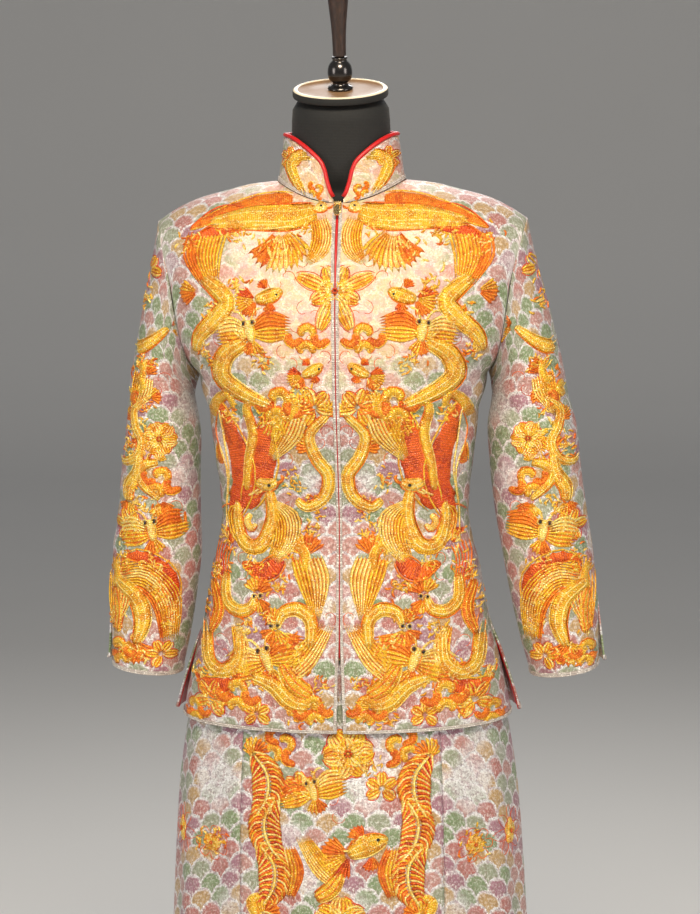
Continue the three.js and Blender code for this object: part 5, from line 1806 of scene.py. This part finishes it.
class DRESS_OT_skirt(bpy.types.Operator):
    """Skirt panels with soft side pleats, and the waistband"""
    bl_idname = "dress.skirt"
    bl_label = "Skirt"

    def execute(self, context):
        wall = settings().skirt_wall
        for panel in ("front", "back", "left", "right"):
            node = f"skirt_{panel}" if panel in ("front", "back") else f"skirt_side_{panel}"
            centre = panel in ("front", "back")
            skew = 0.0 if centre else 0.3
            creases = SKIRT_CREASES if centre else ()
            cloth = Cloth(lambda u, v, panel=panel: skirt_point(u, v, panel), 48 if centre else 64, 110,
                creases, skew=skew, origin=0.5 if centre else 0.0)
            brocade_panel(node + "_cloth", cloth, wall, away_from(), node)

        def waist(u, v):
            angle = u * 2 * pi
            p = skirt_ring(min(angle, 2 * pi - angle), SKIRT_TOP_Z, False)
            x = p.x if angle <= pi else -p.x
            return Vector((x, p.y, lerp(SKIRT_TOP_Z + 0.3, SKIRT_TOP_Z + 28, v))) * MM
        band = band_piece("waistband_cloth", waist, 96, 6, -0.002, 0.002, [red_cloth()], away_from())
        ride(band, "skirt_waistband")
        return {"FINISHED"}


JACKET_SPARKLE = [(a, z) for _, a, z, _, _ in JACKET_PLACES]


class DRESS_OT_jacket_embroidery(bpy.types.Operator):
    """Raised couched birds, fish and flowers on the jacket"""
    bl_idname = "dress.jacket_embroidery"
    bl_label = "Jacket embroidery"

    def execute(self, context):
        for tag, side in (("left", 1.0), ("right", -1.0)):
            canvas = Canvas(PIECES["jacket_front_" + tag], line_front)
            needle = Needle(canvas, 11 if side > 0 else 12)
            draw(needle, JACKET_PLACES, side)
            needle.at(0, 1244, 1.0, 0, side).star_flower()
            needle.sequins([(a * side, z) for a, z in JACKET_SPARKLE], 16, 160)
            ride(needle.piece(f"embroidery_front_{tag}"), None)
        canvas = Canvas(PIECES["jacket_back"], line_back)
        needle = Needle(canvas, 13)
        for side in (1.0, -1.0):
            draw(needle, JACKET_PLACES, side)
        needle.at(0, 1244).star_flower()
        needle.sequins([(a * s, z) for a, z in JACKET_SPARKLE for s in (1, -1)], 16, 200)
        ride(needle.piece("embroidery_back"), None)
        return {"FINISHED"}


class DRESS_OT_sleeve_embroidery(bpy.types.Operator):
    """Raised embroidery on the sleeves and the collar"""
    bl_idname = "dress.sleeve_embroidery"
    bl_label = "Sleeve and collar embroidery"

    def execute(self, context):
        for name, rows, side, front in SLEEVES:
            canvas = Canvas(PIECES[name + "_cloth"], line_front if front else line_back)
            needle = Needle(canvas, 20 + len(name) + side)
            view = 1 if front else -1
            for kind, offset, z, size, turn in SLEEVE_PLACES:
                centre = read(rows, "z", z, "x") if z < RING_TOP else side * lerp(191, 182,
                    (z - RING_TOP) / 130)
                half = read(rows, "z", z, "half")
                a = (centre + side * offset * half) * view
                needle.at(a, z, size, turn, side * view)
                getattr(needle, kind)()
            ride(needle.piece("embroidery_" + name), None)
        canvas = Canvas(PIECES["collar_cloth"], line_front)
        needle = Needle(canvas, 41)
        for side in (1.0, -1.0):
            needle.at(38 * side, 1362, 0.6, 35, side).body_fan()
            needle.at(22 * side, 1340, 0.5, 60, side).cloud()
            needle.at(50 * side, 1374, 0.7, 20, side).sprig()
        ride(needle.piece("embroidery_collar"), None)
        return {"FINISHED"}


class DRESS_OT_skirt_embroidery(bpy.types.Operator):
    """Raised embroidery on the skirt"""
    bl_idname = "dress.skirt_embroidery"
    bl_label = "Skirt embroidery"

    def execute(self, context):
        for panel, line in (("front", line_front), ("back", line_back)):
            needle = Needle(Canvas(PIECES[f"skirt_{panel}_cloth"], line), 51 if panel == "front" else 52)
            draw(needle, SKIRT_PLACES, 1.0, True)
            ride(needle.piece(f"embroidery_skirt_{panel}"), None)
        for panel, line in (("left", line_left), ("right", line_right)):
            needle = Needle(Canvas(PIECES[f"skirt_side_{panel}_cloth"], line), 53 if panel == "left" else 54)
            side = 1.0 if panel == "left" else -1.0
            draw(needle, SIDE_PLACES, side)
            needle.canvas = Canvas(PIECES[f"skirt_side_{panel}_cloth"], line_front)
            for a, z in ((136, 672), (140, 540), (134, 400), (140, 262)):
                needle.at(a * side, z, 0.85, 0, side).rosette()
            ride(needle.piece(f"embroidery_skirt_side_{panel}"), None)
        return {"FINISHED"}


def turned(profile, steps, matrix, name, materials, pick=None):
    """Turned solid from a profile of (radius, height) in millimetres; pick gives each face its material."""
    bm = bmesh.new()
    verts = [bm.verts.new((r * MM, 0, z * MM)) for r, z in profile]
    edges = [bm.edges.new(pair) for pair in zip(verts, verts[1:])]
    bmesh.ops.spin(bm, geom=verts + edges, cent=(0, 0, 0), axis=(0, 0, 1), angle=2 * pi, steps=steps,
        use_merge=True)
    bmesh.ops.remove_doubles(bm, verts=bm.verts, dist=1e-6)
    bmesh.ops.recalc_face_normals(bm, faces=bm.faces)
    for face in bm.faces if pick else ():
        spot = face.calc_center_median() / MM
        face.material_index = pick(hypot(spot.x, spot.y), spot.z)
    bmesh.ops.transform(bm, matrix=matrix, verts=bm.verts)
    return finished(name, bm, materials)


CAP_PROFILE = ((0, 0), (46, 0), (48.4, 0.5), (49, 1.8), (49, 6), (48.4, 7.6), (47, 8.6), (45, 8.8), (43.8, 8),
               (42.6, 6.9), (30, 6.8), (0, 6.8))
KNOB_PROFILE = (
    (0, 0), (12.2, 0), (13, 0.8), (13, 1.6), (12, 3.2), (9.4, 4.2), (8, 5.4), (7.5, 7), (8.4, 8.2), (10, 9),
    (11.4, 11), (12.3, 14), (12.6, 17.5), (12.3, 21), (11.4, 24.4), (9.6, 27.4), (7.8, 29), (7.2, 30),
    (7.3, 31.2),
    (8, 32), (8, 33.2), (0, 33.5))
HANDLE_PROFILE = (
    (0, 0), (6.2, 0.2), (6.8, 1.6), (6.8, 8), (7.2, 22), (8, 34), (9, 44), (10.1, 55), (11.2, 66), (12.1, 74),
    (12.1, 79), (11, 83.6), (8.6, 87), (5, 89), (0, 89.5))


class DRESS_OT_form(bpy.types.Operator):
    """Jersey-covered body form, neck cap, knob, spindle and stand"""
    bl_idname = "dress.form"
    bl_label = "Dress form"

    def execute(self, context):
        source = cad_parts["form_torso"]
        bm = bmesh.new()
        bm.from_mesh(source.data)
        bmesh.ops.remove_doubles(bm, verts=bm.verts, dist=1e-6)
        bmesh.ops.join_triangles(bm, faces=bm.faces, angle_face_threshold=0.7, angle_shape_threshold=0.7)
        piece = finished("form_cover", bm, [black_jersey()])
        smooth = piece.modifiers.new("Round", "SUBSURF")
        smooth.levels = smooth.render_levels = 1
        ride(piece, "form_torso")
        top = Matrix.Translation((0, -0.007, NECK_TOP_Z * MM)) @ Matrix.Rotation(CAP_TILT, 4, "X")
        lift = 0.3
        # The cap's side gets black jersey, its top brown wood and its lip the painted highlight
        cap = turned(CAP_PROFILE, 72, top @ Matrix.Translation((0, 0, lift * MM)), "neck_cap",
            [cap_cloth(), cap_lip_painted_highlight(), black_jersey()], lambda r, z: 2 if r > 40 and z < 7 else int(z > 7.9))
        ride(cap, "form_cap")
        lift = 7.4
        ride(turned(KNOB_PROFILE, 48, top @ Matrix.Translation((0, 0, lift * MM)), "neck_knob",
            [dark_metal()]), "form_knob")
        lift = 41.2
        ride(turned(HANDLE_PROFILE, 40, top @ Matrix.Translation((0, 0, lift * MM)), "neck_spindle",
            [dark_wood()]), "form_handle")
        seat = Matrix.Identity(4)
        pole = ((0, 14.3), (15.5, 14.3), (16.5, 16), (16.5, 30), (15, 32), (14, 33), (14, 758), (13, 759.7),
            (0, 759.7))
        ride(turned(pole, 48, seat, "pole", [stand_paint()]), "stand_pole")
        base = ((0, 0), (148, 0), (150, 1), (150, 7), (149, 9.4), (146, 11.4), (120, 12.4), (60, 13.6),
            (30, 14), (0, 14))
        ride(turned(base, 96, seat, "base", [stand_paint()]), "stand_base")
        return {"FINISHED"}


def zip_matrix():
    chest = body_depth(0, SLIDER_Z, True)
    return (Matrix.Translation(Vector((0, -chest, SLIDER_Z)) * MM)
        @ Matrix.Rotation(pi / 2 - SLIDER_TILT, 4, "X"))


def box(bm, low, high, bevel, matrix, segments=2):
    """Block between two corners in millimetres, its edges rounded."""
    size = [h - l for l, h in zip(low, high)]
    middle = [(h + l) / 2 for l, h in zip(low, high)]
    made = bmesh.ops.create_cube(bm, size=1, matrix=Matrix.Translation(Vector(middle) * MM)
        @ Matrix.Diagonal((*[s * MM for s in size], 1)))["verts"]
    edges = list({e for v in made for e in v.link_edges})
    result = bmesh.ops.bevel(bm, geom=edges, offset=bevel * MM, affect="EDGES", segments=segments,
        profile=0.5, material=-1)
    verts = set(result["verts"]) | {v for f in result["faces"] for v in f.verts}
    island = set(verts)
    queue = list(verts)
    while queue:
        for edge in queue.pop().link_edges:
            for vert in edge.verts:
                if vert not in island:
                    island.add(vert)
                    queue.append(vert)
    bmesh.ops.transform(bm, matrix=matrix, verts=list(island))


class DRESS_OT_zip(bpy.types.Operator):
    """Zip teeth, slider and pull tab"""
    bl_idname = "dress.zip"
    bl_label = "Zip"

    def execute(self, context):
        place = zip_matrix() @ Matrix.Translation((0, 0, SLIDER_LIFT * MM))
        bm = bmesh.new()
        box(bm, (-4.2, -6.3, 0), (4.2, 6.3, 2.4), 0.9, place, 3)
        for x in (-3.2, 3.2):
            box(bm, (x - 0.45, PIN_UP - 1.5, 1.6), (x + 0.45, PIN_UP + 1.5, 6.4), 0.3, place)
        tube(bm, [place @ (Vector((x, PIN_UP, PIN_OUT)) * MM) for x in (-4, -2, 0, 2, 4)], 0.0007, 10)
        bmesh.ops.recalc_face_normals(bm, faces=bm.faces)
        ride(finished("slider", bm, [gold_metal()]), "zip_slider")

        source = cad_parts["zip_pull"]
        bm = bmesh.new()
        bm.from_mesh(source.data)
        bmesh.ops.remove_doubles(bm, verts=bm.verts, dist=1e-6)
        piece = finished("pull_tab", bm, [gold_metal()], smooth=False)
        soften(piece, 0.00025, 40)
        ride(piece, "zip_pull", "pull")

        teeth = bmesh.new()
        count = 210
        for k in range(count):
            v = lerp(level_row(870), 0.978, k / (count - 1))
            side = 1 if k % 2 else -1
            p = jacket_point(0.0, v, True)
            middle = Vector((side * 0.0006, p.y + 0.0028, p.z))
            bmesh.ops.create_cube(teeth, size=1, matrix=Matrix.Translation(middle)
                @ Matrix.Diagonal((0.0022, 0.0012, 0.0012, 1)))
        ride(finished("zip_teeth", teeth, [gold_metal()], smooth=False), None)
        line = bmesh.new()
        path = []
        for k in range(121):
            p = jacket_point(0.0, lerp(level_row(872), 0.965, k / 120), True)
            path.append(Vector((0.0, p.y - 0.0001, p.z)))
        tube(line, path, lambda share: lerp(0.0006, 0.0014, clamp((share - 0.86) / 0.05)), 8)
        bmesh.ops.recalc_face_normals(line, faces=line.faces)
        ride(finished("zip_red_edge", line, [red_cloth()]), None)
        return {"FINISHED"}


def declare_sheets():
    for name, _, _, front in SLEEVES:
        "jacket_front_" + name.split("_")[1] if front else "jacket_back"


# The floor's half width and near end, and the sweep's start, radius and steepness, in metres
FLOOR_HALF, FLOOR_NEAR, FLOOR_RUN = 9, -7.5, 15
SWEEP_RADIUS, SWEEP_RUN, SWEEP_RISE = 1.3, 2, 2.5
SHEET_RUN = 19


class DRESS_OT_stage(bpy.types.Operator):
    """Pale studio floor, soft lights and the camera"""
    bl_idname = "dress.stage"
    bl_label = "Stage"

    def execute(self, context):
        bm = bmesh.new()
        bmesh.ops.create_grid(bm, x_segments=1, y_segments=40, size=1)
        for vert in bm.verts:
            run = (vert.co.y + 1) / 2 * SHEET_RUN
            y, z = FLOOR_NEAR + run, 0.0
            if run > FLOOR_RUN:
                bend = min((run - FLOOR_RUN) / SWEEP_RUN, 1) * pi / 2
                y = FLOOR_NEAR + FLOOR_RUN + SWEEP_RADIUS * sin(bend)
                z = SWEEP_RADIUS * (1 - cos(bend)) + max(run - FLOOR_RUN - SWEEP_RUN, 0) * SWEEP_RISE
            vert.co = (vert.co.x * FLOOR_HALF, y, z)
        bmesh.ops.recalc_face_normals(bm, faces=bm.faces)

        colour = tuple(settings().floor_colour)
        dark = tuple(c * 0.97 for c in colour)
        floor = finished("studio_floor", bm, [grained("Pale floor", 30.0, dark, colour, 0.8, shade="Broad")])

        def light(name, place, aim, size, power, colour=(1, 1, 1)):
            data = bpy.data.lights.new(name, "AREA")
            data.shape = "RECTANGLE"
            data.size, data.size_y = size
            data.energy = power
            data.color = colour
            lamp = bpy.data.objects.new(name, data)
            lamp.location = place
            lamp.rotation_euler = (Vector(aim) - Vector(place)).to_track_quat("-Z", "Y").to_euler()
            context.scene.collection.objects.link(lamp)

        light("Key light", (0.2, -1.9, 2.9), (0, 0, 1.2), (1.0, 0.7), 84, (1.0, 0.89, 0.72))
        light("Left fill", (-2.4, -1.6, 1.5), (0, 0, 1.0), (0.9, 1.5), 23, (1.0, 0.98, 0.97))
        light("Right fill", (2.4, -1.6, 1.5), (0, 0, 1.0), (0.9, 1.5), 23, (1.0, 0.98, 0.97))
        light("Back light", (0, 2.4, 2.6), (0, 0, 1.1), (1.6, 0.8), 26)
        world = bpy.data.worlds.new("Soft studio")
        world.use_nodes = True
        world.node_tree.nodes["Background"].inputs[0].default_value = (0.82, 0.84, 0.88, 1)
        world.node_tree.nodes["Background"].inputs[1].default_value = 0.25
        context.scene.world = world

        data = bpy.data.cameras.new("Camera")
        data.lens = 98
        data.sensor_width = 36
        camera = bpy.data.objects.new("Camera", data)
        context.scene.collection.objects.link(camera)
        azimuth, pitch, distance = radians(4), radians(-7.8), 2.6
        target = Vector((0.0053, 0.0, 1.063))
        level = distance * cos(pitch)
        camera.location = target + Vector((level * sin(azimuth), -level * cos(azimuth),
            -distance * sin(pitch)))
        look = (target - camera.location).to_track_quat("-Z", "Y")
        roll = Matrix.Rotation(radians(-0.6), 4, "Z")
        camera.matrix_world = Matrix.Translation(camera.location) @ look.to_matrix().to_4x4() @ roll
        context.scene.camera = camera
        context.scene.view_settings.view_transform = "Standard"
        return {"FINISHED"}


OPERATORS = (DRESS_OT_stage, DRESS_OT_jacket, DRESS_OT_sleeves, DRESS_OT_collar, DRESS_OT_trims,
DRESS_OT_skirt,
             DRESS_OT_jacket_embroidery, DRESS_OT_sleeve_embroidery, DRESS_OT_skirt_embroidery, DRESS_OT_form,
             DRESS_OT_zip)


class DRESS_PT_panel(bpy.types.Panel):
    """Shows the settings and a button for each step"""
    bl_idname = "DRESS_PT_panel"
    bl_label = "Dress"
    bl_space_type = "VIEW_3D"
    bl_region_type = "UI"
    bl_category = "Dress"

    def draw(self, context):
        for name in ("jacket_wall", "skirt_wall", "collar_wall", "trim_wall", "floor_colour"):
            self.layout.prop(context.scene.dress_settings, name)
        for operator in OPERATORS:
            self.layout.operator(operator.bl_idname)


CLASSES = (DressSettings, *OPERATORS, DRESS_PT_panel)


def register():
    for cls in CLASSES:
        bpy.utils.register_class(cls)
    bpy.types.Scene.dress_settings = bpy.props.PointerProperty(type=DressSettings)


def unregister():
    del bpy.types.Scene.dress_settings
    for cls in reversed(CLASSES):
        bpy.utils.unregister_class(cls)


def main():
    register()
    for operator in OPERATORS:
        getattr(bpy.ops.dress, operator.bl_idname.split(".")[1])()
    declare_sheets()


if __name__ == "__main__":
    main()
